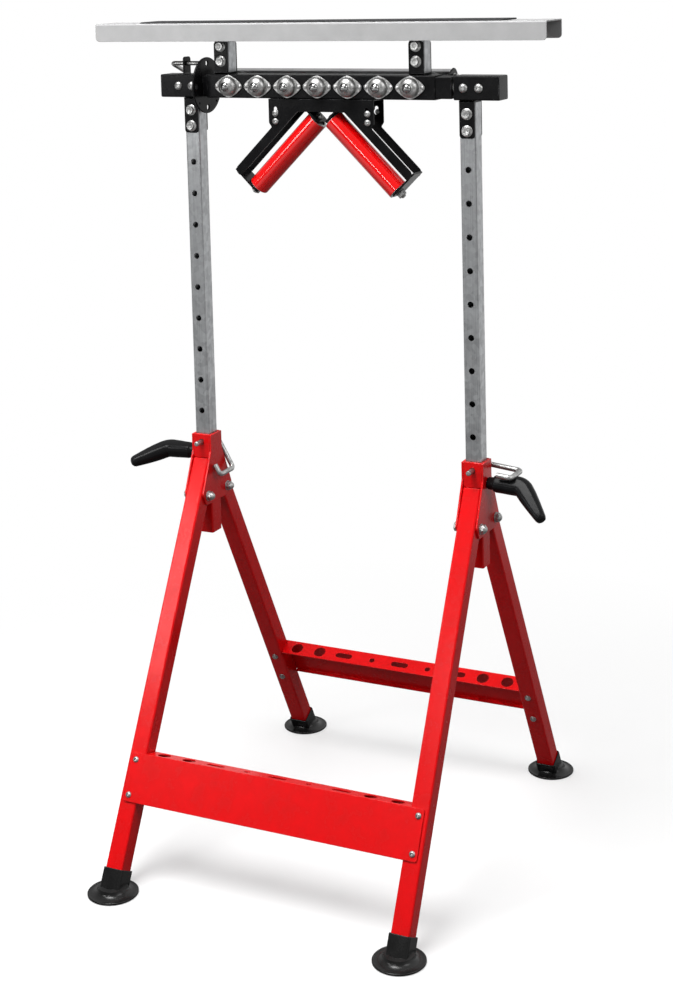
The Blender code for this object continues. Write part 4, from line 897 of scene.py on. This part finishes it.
def flange_bolt(grip_low, grip_high):
    """A flange-head bolt along Z: the head stands above the grip, a flange nut below it."""
    head = [(4, 0), (8.4, 0), (8.7, 0.6), (8.2, 1.3), (5.6, 2.2)]
    hexagon = [(6.6, 1.2), (6.6, 5.0), (5.9, 5.8), (3.6, 5.8), (3.0, 5.2), (0, 5.2)]
    nut = [(4, 0), (7.4, 0), (7.4, 1.0), (6.0, 1.8)]
    nut_hexagon = [(6.4, 1.0), (6.4, 5.6), (5.7, 6.4), (4, 6.4)]
    up = Matrix.Translation((0, 0, grip_high))
    down = Matrix.Translation((0, 0, grip_low)) @ Matrix.Rotation(math.pi, 4, "X")
    return [
        (turn_on_lathe(head), up),
        (turn_on_lathe(hexagon, 11.4), up),
        (turn_on_lathe([(4, grip_low - 1), (4, grip_high + 1)]), Matrix.Identity(4)),
        (turn_on_lathe(nut), down),
        (turn_on_lathe(nut_hexagon, 11.0), down),
        (turn_on_lathe(thread(3.9, 6.0, 9.5)), down),
    ]


for kind, body, heights in (("post", "mast", (-38, -63)), ("stub", "head", (38.5, 61.5))):
    for side in SIDES:
        node = f"{side}_{kind}_clamp"
        low, high = box_mm(node)
        x = (low.x + high.x) / 2
        corner = [5, 5, 0.5, 0.5] if kind == "post" else [0.5, 0.5, 5, 5]
        cheek = rounded(rectangle(CLAMP, high.z - low.z, 0, (high.z + low.z) / 2), corner)
        cheek = cut_sheet(cheek, (), CLAMP_SHEET, 0.5)
        base_z = high.z - CLAMP_SHEET if kind == "post" else low.z
        base = cut_sheet(rectangle(CLAMP, 2 * CLAMP_FACE + 2 * CLAMP_SHEET), (), CLAMP_SHEET, 0.5)
        parts = [
            (cheek, lay((x, -CLAMP_FACE, 0), X, Z)),
            (cheek, lay((x, CLAMP_FACE + CLAMP_SHEET, 0), X, Z)),
            (base, lay((x, 0, base_z))),
        ]
        join(f"{node}_bracket", parts, "black_powder_coat", body, node)
        grip = CLAMP_FACE + CLAMP_SHEET
        bolts = []
        for height in heights:
            bolts += moved(flange_bolt(-grip, grip), lay((x, 0, AXIS + height), X, Z))
        join(f"{node}_bolts", bolts, "bright_zinc", body)
print("pieces so far:", piece_count)

# %% [markdown]
# ## End blocks and journals
# A square block sits on each post and holds the shaft that the head turns on. The block is square
# tube with a welded cap outside and two button-head screws in front that hold the shaft's plug. The
# left block also carries the upright tab that guides the index pin.

# %% End blocks and journals
BLOCK, BLOCK_INNER, BLOCK_OUTER, CAP_INSET = 36.0, 213, 284, 1.5
INDEX_RADIUS = 34.5
COLLAR = [(8, 0), (11.4, 0), (12, 0.5), (12, 1.5), (11.6, 1.7), (12, 1.9), (12, 2.9), (11.4, 3.4), (8, 3.4)]
for side, out in zip(SIDES, (-1, 1)):
    node = f"{side}_end_block"
    low, high = sorted((STAND_AT + out * BLOCK_INNER, STAND_AT + out * BLOCK_OUTER))
    tube = square_tube(BLOCK, 2.5, 2.4, high - low - CAP_INSET, 0.5)
    parts = moved(tube, lay((low + CAP_INSET if out < 0 else low, 0, AXIS), Y, Z))
    cap = cut_sheet(rounded(rectangle(BLOCK - 0.4, BLOCK - 0.4), 2.6), (), 2.6, 0.6)
    parts.append((cap, lay((low if out < 0 else high - 2.6, 0, AXIS), Y, Z)))
    if side == "left":
        tab = rounded(rectangle(20, 28, 0, BLOCK / 2 + 13), [0.6, 0.6, 5, 5])
        tab = cut_sheet(tab, [circle(3.8, 0, INDEX_RADIUS, 28)], 3.0, 0.5)
        parts.append((tab, lay((STAND_AT - 247.5, 0, AXIS), Y, Z)))
        bead = [(0, 0), (2.2, 0), (0.9, 0.8), (0, 2.2)]
        bead = cut_sheet(bead, (), 18, 0.2)
        parts.append((bead, lay((STAND_AT - 244.5, 9, AXIS + BLOCK / 2 - 0.2), X, Z)))
    join(f"{node}_box", parts, "black_powder_coat", "mast", node)
    screws = []
    for reach in (228, 252):
        screws += moved(pan_screw(6.8, 3.6), lay((STAND_AT + out * reach, -BLOCK / 2 + 0.1, AXIS), X, Z))
        screws += moved(pan_screw(4.2, 2.2), lay((STAND_AT + out * reach, BLOCK / 2 - 0.1, AXIS), X, -Z))
    join(f"{node}_screws", screws, "bright_zinc", "mast")

    low, high = box_mm(f"{side}_journal")
    plug = rounded(rectangle(30.4, 30.4), 1.5)
    plug_low = low.x if out < 0 else high.x - 14
    shaft_low, shaft_high = (low.x + 7, high.x) if out < 0 else (low.x, high.x - 7)
    parts = [(cut_sheet(plug, (), 14, 0.5), lay((plug_low, 0, AXIS), Y, Z))]
    reach, chamfer = shaft_high - shaft_low, 0.8 if out < 0 else 0
    shaft = [(0, 0), (8, 0), (8, reach - chamfer), (8 - chamfer, reach), (0, reach)]
    parts.append((turn_on_lathe(shaft), lay((shaft_low, 0, AXIS), Y, Z)))
    if side == "right":
        parts.append((turn_on_lathe(COLLAR, segments=64), lay((STAND_AT + 209.3, 0, AXIS), Y, Z)))
    join(f"{node}_shaft", parts, "bright_zinc", "mast", f"{side}_journal")
print("pieces so far:", piece_count)

# %% [markdown]
# ## Beam, index disc and index pin
# The square beam turns on the two journals through its end plates. The disc on its left end has a
# hole every quarter turn, and the bent pin in the tab drops into one of them to lock the head. The
# disc's rim is rounded more than the other edges, since it is handled.

# %% Beam, disc and pin
BEAM = 33.0
low, high = box_mm("beam")
bore = circle(8.5, steps=40)
end_plate = cut_sheet(rounded(rectangle(BEAM - 0.3, BEAM - 0.3), 2.2), [bore], 5, 0.5)
parts = moved(square_tube(BEAM, 2.0, 2.4, high.x - low.x - 2, 0.4), lay((low.x + 1, 0, AXIS), Y, Z))
parts += [(end_plate, lay((low.x, 0, AXIS), Y, Z)), (end_plate, lay((high.x - 5, 0, AXIS), Y, Z))]
join("beam_tube", parts, "black_powder_coat", "head", "beam")

low, high = box_mm("index_disc")
locks = []
for k in range(4):
    turn = math.pi / 2 * k
    locks.append(circle(3.8, INDEX_RADIUS * math.sin(turn), INDEX_RADIUS * math.cos(turn), 28))
for k in range(4):
    turn = math.pi / 2 * (k + 0.5)
    locks.append(circle(1.6, 37.5 * math.sin(turn), 37.5 * math.cos(turn), 16))
disc = cut_sheet(circle(44, steps=96), [bore, *locks], high.x - low.x, 0.9)
join("index_plate", [(disc, lay((low.x, 0, AXIS), Y, Z))], "black_powder_coat", "head", "index_disc")

low, high = box_mm("index_pin")
height = AXIS + INDEX_RADIUS
bend_x = STAND_AT - 273
route = [(high.x, 0, height), (bend_x, 0, height), (bend_x + 2, 33, height - 14)]
join("index_rod", [(bend_rod(route, 7, 6), Matrix.Identity(4))], "bright_zinc", "index_pin", "index_pin")
print("index pin from x", round(low.x, 1), "to", round(high.x, 1))

# %% [markdown]
# ## Ball carrier and ball units
# A thin channel wraps the front of the beam and carries seven ball units. A unit is a pressed cup with a
# diamond flange, held by a rivet at each tip, and a steel ball; a thin black ring in the gap round the ball is
# painted shade. The flange is a cut sheet, and cup, shade ring and ball are turned.

# %% Ball carrier and ball units
low, high = box_mm("ball_carrier")
half = (high.z - low.z) / 2
back, inside = half - 1.8, half - 1.5
section = [(back, half), (-half, half), (-half, -half), (back, -half)]
section += [(back, -inside), (-inside, -inside), (-inside, inside), (back, inside)]
channel = cut_sheet(rounded(section, [0.5, 2.2, 2.2, 0.5, 0.5, 0.7, 0.7, 0.5]), (), high.x - low.x, 0.3)
join("ball_channel", [(channel, lay((low.x, 0, AXIS), Y, Z))], "black_powder_coat", "head", "ball_carrier")


def diamond(steps=96):
    """The unit's flange: a diamond with swollen sides and round tips."""
    out = []
    for k in range(steps):
        angle = 2 * math.pi * k / steps
        total = abs(math.cos(angle) / 24.4) ** 1.35 + abs(math.sin(angle) / 17.6) ** 1.35
        r = min(total ** (-1 / 1.35), 23.6)
        out.append((r * math.cos(angle), r * math.sin(angle)))
    return out


BALL_RADIUS = 7.5
cup = [(16.6, 1.2), (15.6, 1.6), (15.2, 2.8), (15.0, 5.0), (14.3, 7.4), (12.9, 9.6), (11.0, 11.3)]
cup += [(9.3, 12.3), (8.7, 12.5), (8.3, 13.2), (7.9, 13.7), (7.4, 13.9), (7.1, 13.6), (7.0, 12.8)]
# A thin black ring round the ball: painted shade for the gap between ball and cup.
gap_shade = [(7.1, 12.0), (7.1, 13.3), (6.9, 13.3), (6.75, 12.6)]
rivet = [(3.0, 1.4), (3.0, 1.9), (2.5, 2.5), (1.5, 2.9), (0.6, 3.0), (0.5, 2.6), (0, 2.5)]
arc = [math.pi * k / 20 - math.pi / 2 for k in range(1, 20)]
ball_profile = [(0, -BALL_RADIUS), *((BALL_RADIUS * math.cos(t), BALL_RADIUS * math.sin(t)) for t in arc)]
ball_profile.append((0, BALL_RADIUS))
for number in range(1, 8):
    at = middle(f"ball_{number}")
    seat = box_mm(f"ball_unit_{number}")[1].y
    here = lay((at.x, seat, AXIS), X, Z)
    parts = [(cut_sheet(diamond(), (), 1.6, 0.5), here), (turn_on_lathe(cup, segments=64), here)]
    for tip in (-20.3, 20.3):
        parts.append((turn_on_lathe(rivet, segments=24), here @ Matrix.Translation((tip, 0, 0))))
    join(f"ball_cup_{number}", parts, "bright_zinc", "head", f"ball_unit_{number}")
    join(f"ball_gap_shade_{number}", [(turn_on_lathe(gap_shade), here)], "black_plastic", "head")
    ball = turn_on_lathe(ball_profile)
    join(f"steel_ball_{number}", [(ball, lay(at, X, Z))], "shaded_ball_steel", f"ball_{number}", f"ball_{number}")
print("pieces so far:", piece_count)

# %% [markdown]
# ## Table, mat and stubs
# The table is a folded channel whose ends are rounded at the bottom corners, on two short stubs with
# pads. The mat on it is a strip of ribbed grip rubber; its section has the ribs and is extruded along
# the table, just as the real one comes out of a die.

# %% Table, mat and stubs


def fold_strip(radius, skin, length, low, high):
    """The rounded corner of a fold, from one angle to another, extruded to a length."""
    arc = [math.radians(low + (high - low) * k / 6) for k in range(7)]
    outline = [(radius * math.cos(t), radius * math.sin(t)) for t in arc]
    outline += [((radius - skin) * math.cos(t), (radius - skin) * math.sin(t)) for t in reversed(arc)]
    return cut_sheet(outline, (), length, 0)


low, high = box_mm("table")
length, depth, flange = high.x - low.x, high.y - low.y, high.z - low.z
SHEET, BEND = 2.0, 3.0
deck = cut_sheet(rectangle(length, depth - 2 * BEND), (), SHEET, 0.2)
apron = rounded(rectangle(length, flange - BEND, 0, (flange - BEND) / 2), [6, 6, 0.2, 0.2])
apron = cut_sheet(apron, (), SHEET, 0.3)
middle_x = (low.x + high.x) / 2
parts = [
    (deck, lay((middle_x, 0, high.z - SHEET))),
    (apron, lay((middle_x, low.y + SHEET, low.z), X, Z)),
    (apron, lay((middle_x, high.y, low.z), X, Z)),
    (fold_strip(BEND, SHEET, length, 90, 180), lay((low.x, low.y + BEND, high.z - BEND), Y, Z)),
    (fold_strip(BEND, SHEET, length, 0, 90), lay((low.x, high.y - BEND, high.z - BEND), Y, Z)),
]
join("table_channel", parts, "light_grey_coat", "head", "table")

low, high = box_mm("table_mat")
depth, thick, pitch = high.y - low.y, high.z - low.z, 2.9
ribs = [(-depth / 2, 0), (depth / 2, 0), (depth / 2, thick * 0.55)]
y = depth / 2 - 0.7
while y > -depth / 2 + pitch:
    ribs += [(y, thick * 0.55), (y - 0.35, thick), (y - 1.55, thick), (y - 1.9, thick * 0.55)]
    y -= pitch
ribs.append((-depth / 2, thick * 0.55))
strip = cut_sheet(ribs, (), high.x - low.x, 0)
join("grip_strip", [(strip, lay((low.x, 0, low.z), Y, Z))], "grip_mat", "head", "table_mat")

for side in SIDES:
    low, high = box_mm(f"{side}_stub")
    x = (low.x + high.x) / 2
    pad = cut_sheet(rounded(rectangle(46, 50), 4), [circle(2.6, 16, 0, 20), circle(2.6, -16, 0, 20)], 3.0, 0.4)
    parts = moved(square_tube(25, 1.5, 2.0, high.z - low.z - 2), lay((x, 0, low.z)))
    parts.append((pad, lay((x, 0, high.z - 3))))
    join(f"{side}_stub_tube", parts, "galvanised_steel", "head", f"{side}_stub")
print("pieces so far:", piece_count)

# %% [markdown]
# ## Long roller and its brackets
# Behind the beam a long steel tube runs on two stub axles. Each bracket has a foot on the beam and a
# round ear, cut as two sheets that meet in a fold. The roller's ends are recessed and show a bearing.

# %% Long roller
ROLLER = middle("long_roller")
EAR_REACH, EAR_RADIUS, EAR_SHEET = 190, 15.5, 2.5
AXLE_NUT = [(4, 1.2), (7.0, 1.2), (7.4, 1.7), (7.4, 5.4), (6.6, 6.0), (4, 6.0)]
for side, out in zip(SIDES, (-1, 1)):
    node = f"{side}_roller_bracket"
    ear = ROLLER.x + out * EAR_REACH
    seat = BEAM / 2 + 0.3
    round_end = [math.radians(-90 + 12 * k) for k in range(1, 16)]
    outline = [(seat, ROLLER.z - AXIS - 12.5), (ROLLER.y, ROLLER.z - AXIS - EAR_RADIUS)]
    for t in round_end:
        outline.append((ROLLER.y + EAR_RADIUS * math.cos(t), ROLLER.z - AXIS + EAR_RADIUS * math.sin(t)))
    outline += [(seat, BEAM / 2 - 1)]
    sheet = cut_sheet(outline, (), EAR_SHEET, 0.5)
    corners = [0.6, 4, 4, 0.6] if out < 0 else [4, 0.6, 0.6, 4]
    foot = cut_sheet(rounded(rectangle(30, 20), corners), (), 2.4, 0.5)
    foot_x, foot_z = ear - out * 15, BEAM / 2 - 13
    parts = [
        (sheet, lay((ear - EAR_SHEET if out > 0 else ear, 0, AXIS), Y, Z)),
        (foot, lay((foot_x, seat + 2.5, AXIS + foot_z), X, Z)),
    ]
    join(f"{node}_plate", parts, "black_powder_coat", "head", node)
    spin = lay((ear, ROLLER.y, ROLLER.z), Y, Z * out)
    metal = [
        (washer(7.8, 4.1, 1.2), spin),
        (turn_on_lathe(AXLE_NUT, 13), spin),
        (turn_on_lathe(thread(3.9, 5.6, 8.2)), spin),
        (turn_on_lathe([(0, -24), (3.4, -24), (4, -23.4), (4, 6)]), spin),
    ]
    screw = moved(pan_screw(4.6, 2.4), lay((foot_x - out * 4, seat + 2.4, AXIS + foot_z), X, -Z))
    join(f"{node}_axle", metal + screw, "bright_zinc", "head")

low, high = box_mm("long_roller")
half = (high.x - low.x) / 2
tube = [(11.8, -half + 3), (11.8, -half), (13.5, -half), (14, -half + 0.6)]
tube += [(14, half - 0.6), (13.5, half), (11.8, half), (11.8, half - 3)]
cap = [(11.8, 0), (9.6, 0), (9.4, 0.5), (8.9, 0.5), (8.7, 0), (5.6, 0), (5.4, 0.4), (4.6, 0.4), (4.6, -6)]
spin = lay(ROLLER, Y, Z)
parts = [(turn_on_lathe(tube, segments=64), spin)]
for way in (1, -1):
    seat = spin @ Matrix.Translation((0, 0, way * (half - 3)))
    parts.append((turn_on_lathe(cap), seat if way > 0 else seat @ Matrix.Rotation(math.pi, 4, "X")))
join("long_roller_tube", parts, "polished_steel", "long_roller", "long_roller")
print("long roller", round(2 * half, 1), "mm")

# %% [markdown]
# ## V bracket
# The bracket that hangs under the beam has a front and a rear plate with arms at 45 degrees. The rear
# arms are slimmer, so daylight shows beside each roller. Small folded tabs join the plates at the
# arms' ends and hold the axles. All corners come from one outline, drawn in the bracket's plane.

# %% V bracket
V_AT, V_LOW = STAND_AT - 4, AXIS - 37.5
V_START, V_LENGTH = 18.7, 149.0
V_HALF, V_SHEET = 88.5, 2.5  # half the bracket's width at the top, and its sheet
V_ARM = 42  # from a V roller's axis to its arm's outer edge
DIAGONAL = math.sqrt(0.5)


def v_point(out, along, off):
    """A point of the XZ plane, along a V roller's axis and off it to the outside."""
    return (V_AT + out * (along + off) * DIAGONAL, V_LOW + (off - along) * DIAGONAL)


def v_outline(inner):
    """The outline of one plate, whose arms' inner edges lie this far off the rollers' axes."""
    top, slot, tip = AXIS - 18.6, AXIS - 38, V_START + V_LENGTH + 4
    corners = {}
    for out in (1, -1):
        waist = (V_HALF - 4.5) / DIAGONAL - V_ARM
        slot_along = (V_LOW - slot) / DIAGONAL + inner
        corners[out] = [
            (V_AT + out * V_HALF, top),
            (V_AT + out * V_HALF, AXIS - 55.5),
            v_point(out, waist, V_ARM),
            v_point(out, tip, V_ARM),
            v_point(out, tip, inner),
            v_point(out, slot_along, inner),
        ]
    radii = [0.5, 4, 2, 8, 4, 4]
    return rounded(corners[1] + corners[-1][::-1], radii + radii[::-1])


def keyhole(x, high, low, width=6.0, head=9.5):
    """A keyhole: a slot whose lower end widens to a round hole."""
    arc = [math.radians(a) for a in range(0, 181, 20)]
    out = [(x + width / 2 * math.cos(t), high - width / 2 + width / 2 * math.sin(t)) for t in arc]
    start = math.asin(width / head)
    arc = [math.pi / 2 + start + (2 * math.pi - 2 * start) * k / 18 for k in range(19)]
    return out + [(x + head / 2 * math.cos(t), low + head / 2 + head / 2 * math.sin(t)) for t in arc]


slots = [keyhole(V_AT + way * 77, AXIS - 30.6, AXIS - 44) for way in (-1, 1)]
front = cut_sheet(v_outline(27.5), slots, V_SHEET, 0.5)
rear = cut_sheet(v_outline(29.4), slots, V_SHEET, 0.5)
V_DEPTH = box_mm("v_bracket")[1].y
parts = [(front, lay((0, V_SHEET - V_DEPTH, 0), X, Z)), (rear, lay((0, V_DEPTH, 0), X, Z))]
web = cut_sheet(rectangle(175, 2 * V_DEPTH - 4), (), V_SHEET, 0.4)
parts.append((web, lay((V_AT, 0, AXIS - 21.1))))
for out in (1, -1):
    # Lower tab, then upper ear: width, shift to the outside and place along the roller's axis.
    for width, shift, reach in ((50, 17, V_START + V_LENGTH + 1), (34, 9, V_START - 4)):
        tab = rounded(rectangle(width, 2 * V_DEPTH - 4.6, shift, 0), [5, 1, 1, 5])
        x, z = v_point(out, reach, 0)
        parts.append((cut_sheet(tab, [circle(4.4)], 3.0, 0.5), lay((x, 0, z), (out, 0, 1), Y * -out)))
join("v_bracket_plates", parts, "black_powder_coat", "head", "v_bracket")

# Two screws one above the other, left and right of the rollers.
V_SCREWS = ((-66, 1138.6), (-66, 1126.4), (89.3, 1139.6), (89.3, 1126.4))
screws = []
for x, z in V_SCREWS:
    screws += moved(pan_screw(5.2, 3.0), lay((x, 0.1 - V_DEPTH, z), X, Z))
    screws += moved(pan_screw(4.6, 2.4), lay((x, V_DEPTH - 0.1, z), X, -Z))
join("v_bracket_screws", screws, "bright_zinc", "head")

# %% [markdown]
# ## V rollers
# Each V roller is a glossy red sleeve on a steel core, with a bright pressed cap in both ends. Sleeve,
# cap and core turn together on an axle that is held by a nut outside the lower tab.

# %% V rollers
SLEEVE = 16.3
V_CAP = [(4.6, 3.0), (4.6, 1.6), (8.8, 1.6), (9.2, 2.2), (12.4, 2.2)]
V_CAP += [(12.8, 0.0), (15.3, 0.0), (15.9, 0.4), (15.9, 1.0)]
for side, out in zip(SIDES, (-1, 1)):
    along = Vector((out, 0, -1)).normalized()
    spot = v_point(out, 0, 0)
    spin = lay((spot[0], 0, spot[1]), Y.cross(along), Y)
    low, high = V_START, V_START + V_LENGTH
    node = f"{side}_v_roller"
    sleeve = [(13.6, low + 0.8), (SLEEVE - 0.4, low + 0.8), (SLEEVE, low + 1.4)]
    sleeve += [(SLEEVE, high - 1.4), (SLEEVE - 0.4, high - 0.8), (13.6, high - 0.8)]
    join(f"{side}_v_sleeve", [(turn_on_lathe(sleeve, segments=72), spin)], "red_plastic", node, node)
    cap = turn_on_lathe(V_CAP, segments=64)
    ends = [(cap, spin @ Matrix.Translation((0, 0, low)))]
    ends.append((cap, spin @ Matrix.Translation((0, 0, high)) @ Matrix.Rotation(math.pi, 4, "X")))
    join(f"{side}_v_caps", ends, "bright_zinc", node)
    tab = high + 4
    nut = [(4, 0.3), (7.0, 0.3), (7.4, 0.8), (7.4, 5.6), (6.6, 6.3), (4, 6.3)]
    head = [(0, -4.4), (3.4, -4.4), (4, -3.8), (4, 0)]
    parts = [
        (turn_on_lathe([(4, low - 4), (4, tab + 6)]), spin),
        (turn_on_lathe(head), spin @ Matrix.Translation((0, 0, low - 4))),
        (turn_on_lathe(nut, 13), spin @ Matrix.Translation((0, 0, tab))),
        (turn_on_lathe(thread(3.9, tab + 6, tab + 9)), spin),
    ]
    join(f"{side}_v_axle_rod", parts, "bright_zinc", "head", f"{side}_v_axle")
print("pieces so far:", piece_count)

# %% [markdown]
# ## Lock pins
# A bent rod passes through each frame head and post and carries the load of the mast. Its loop comes
# round to the front so that a hand can pull it. It is bent from one rod, so it is one curve here.

# %% Lock pins
for side, x, turn in zip(SIDES, POST_AT, (-60, -6)):
    way = Vector((math.cos(math.radians(turn)), 0, math.sin(math.radians(turn))))
    centre = Vector((x, 0, LOCK_Z))
    back = centre + 30 * Y
    corner = back + way * 60
    front = corner - 43 * Y
    tail = 18 if side == "left" else 23
    rod = bend_rod([centre - 34 * Y, back, corner, front, front - way * tail], 8, 6.5)
    join(f"{side}_lock_rod", [(rod, Matrix.Identity(4))], "bright_zinc", f"{side}_lock_pin", f"{side}_lock_pin")

# %% [markdown]
# ## Clamp levers
# The clamp levers are moulded in black plastic round a threaded stud. The handle starts as a round
# hub, swells in the bend and thins towards its tip. It is lofted: rounded sections are placed along a
# bent line and joined, and a groove along both sides gives the grip of the real one.

# %% Clamp levers


def loft(sections, steps=28):
    """Joins sections (centre, across, up, half width, half height, groove) into a closed skin."""
    bm = bmesh.new()
    rings = []
    for centre, across, up, wide, tall, groove in sections:
        ring = []
        for k in range(steps):
            t = 2 * math.pi * k / steps
            c, s = math.cos(t), math.sin(t)
            c, s = (math.copysign(abs(v) ** 0.82, v) for v in (c, s))
            dent = 1 - groove * math.exp(-((s / 0.33) ** 2))
            ring.append(bm.verts.new(centre + across * (wide * c * dent) + up * (tall * s)))
        rings.append(ring)
    for a, b in zip(rings, rings[1:]):
        for k in range(steps):
            j = (k + 1) % steps
            bm.faces.new((a[k], a[j], b[j], b[k]))
    bm.faces.new(rings[0][::-1])
    bm.faces.new(rings[-1])
    mesh = bpy.data.meshes.new("loft")
    bm.to_mesh(mesh)
    bm.free()
    return mesh


CLAMP_Z = 588  # height of the clamp screws
LEAN = math.radians(40)  # how far an arm bends away from the stand
START, NECK = GUIDE / 2 + 3.3, GUIDE / 2 + 57.5
# Along hub and arm: reach, half width, half height, depth of the groove.
HUB = [(0.6, 7.8, 7.8, 0), (2, 8.8, 8.8, 0), (10, 9.2, 9.2, 0), (11, 11.0, 11.2, 0), (14, 11.9, 12.4, 0),
       (24, 12.2, 12.8, 0.03), (34, 12.6, 13.6, 0.05)]
ELBOW = (12.8, 14.4, 0.06)
ARM = [(20, 12.6, 13.8, 0.08), (32, 11.8, 12.4, 0.1), (44, 10.6, 10.8, 0.1), (54, 9.4, 9.4, 0.06),
       (60, 8.6, 8.4, 0.02), (63.4, 7.0, 6.8, 0), (65.4, 4.0, 3.8, 0)]
for side, out, x, turn in zip(SIDES, (-1, 1), POST_AT, (-71, -41)):
    node = f"{side}_clamp_lever"
    swing = Vector((0, math.sin(math.radians(turn)), -math.cos(math.radians(turn))))
    arm_way = X * out * math.sin(LEAN) + swing * math.cos(LEAN)
    root = Vector((x + out * NECK, 0, CLAMP_Z))
    line = [Vector((x + out * (START + reach), 0, CLAMP_Z)) for reach, *_ in HUB]
    bend = rounded([line[-1], root, root + arm_way * 20], 16, 7, closed=False)[1:-1]
    line += [*bend, *(root + arm_way * reach for reach, *_ in ARM)]
    sizes = [size for _, *size in HUB] + [ELBOW] * len(bend) + [size for _, *size in ARM]
    plane = X.cross(arm_way).normalized()
    sections = []
    for k, here in enumerate(line):
        ahead = line[min(k + 1, len(line) - 1)] - line[max(k - 1, 0)]
        tall_way = ahead.cross(plane).normalized()
        sections.append((here, plane, tall_way, *sizes[k]))
    spin = lay((x, 0, CLAMP_Z), Y, Z * out)
    tip = NECK + 13.6
    button = [(6.6, tip - 9), (6.6, tip - 0.8), (6.0, tip), (4.8, tip), (4.6, tip - 2), (0, tip - 2)]
    handle = [(loft(sections), Matrix.Identity(4)), (turn_on_lathe(button), spin)]
    join(f"{side}_lever_handle", handle, "black_plastic", node, node, smooth=65)
    stud = [(0, 12.8), (3.2, 12.8), (4, 13.6), (4, START + 2)]
    join(f"{side}_lever_stud", [(turn_on_lathe(stud), spin)], "bright_zinc", node)
print("pieces:", piece_count)

# %% [markdown]
# ## Finish
# Blender's Standard view transform shows the colours as they are written.

# %% Finish
scene.view_settings.view_transform = "Standard"
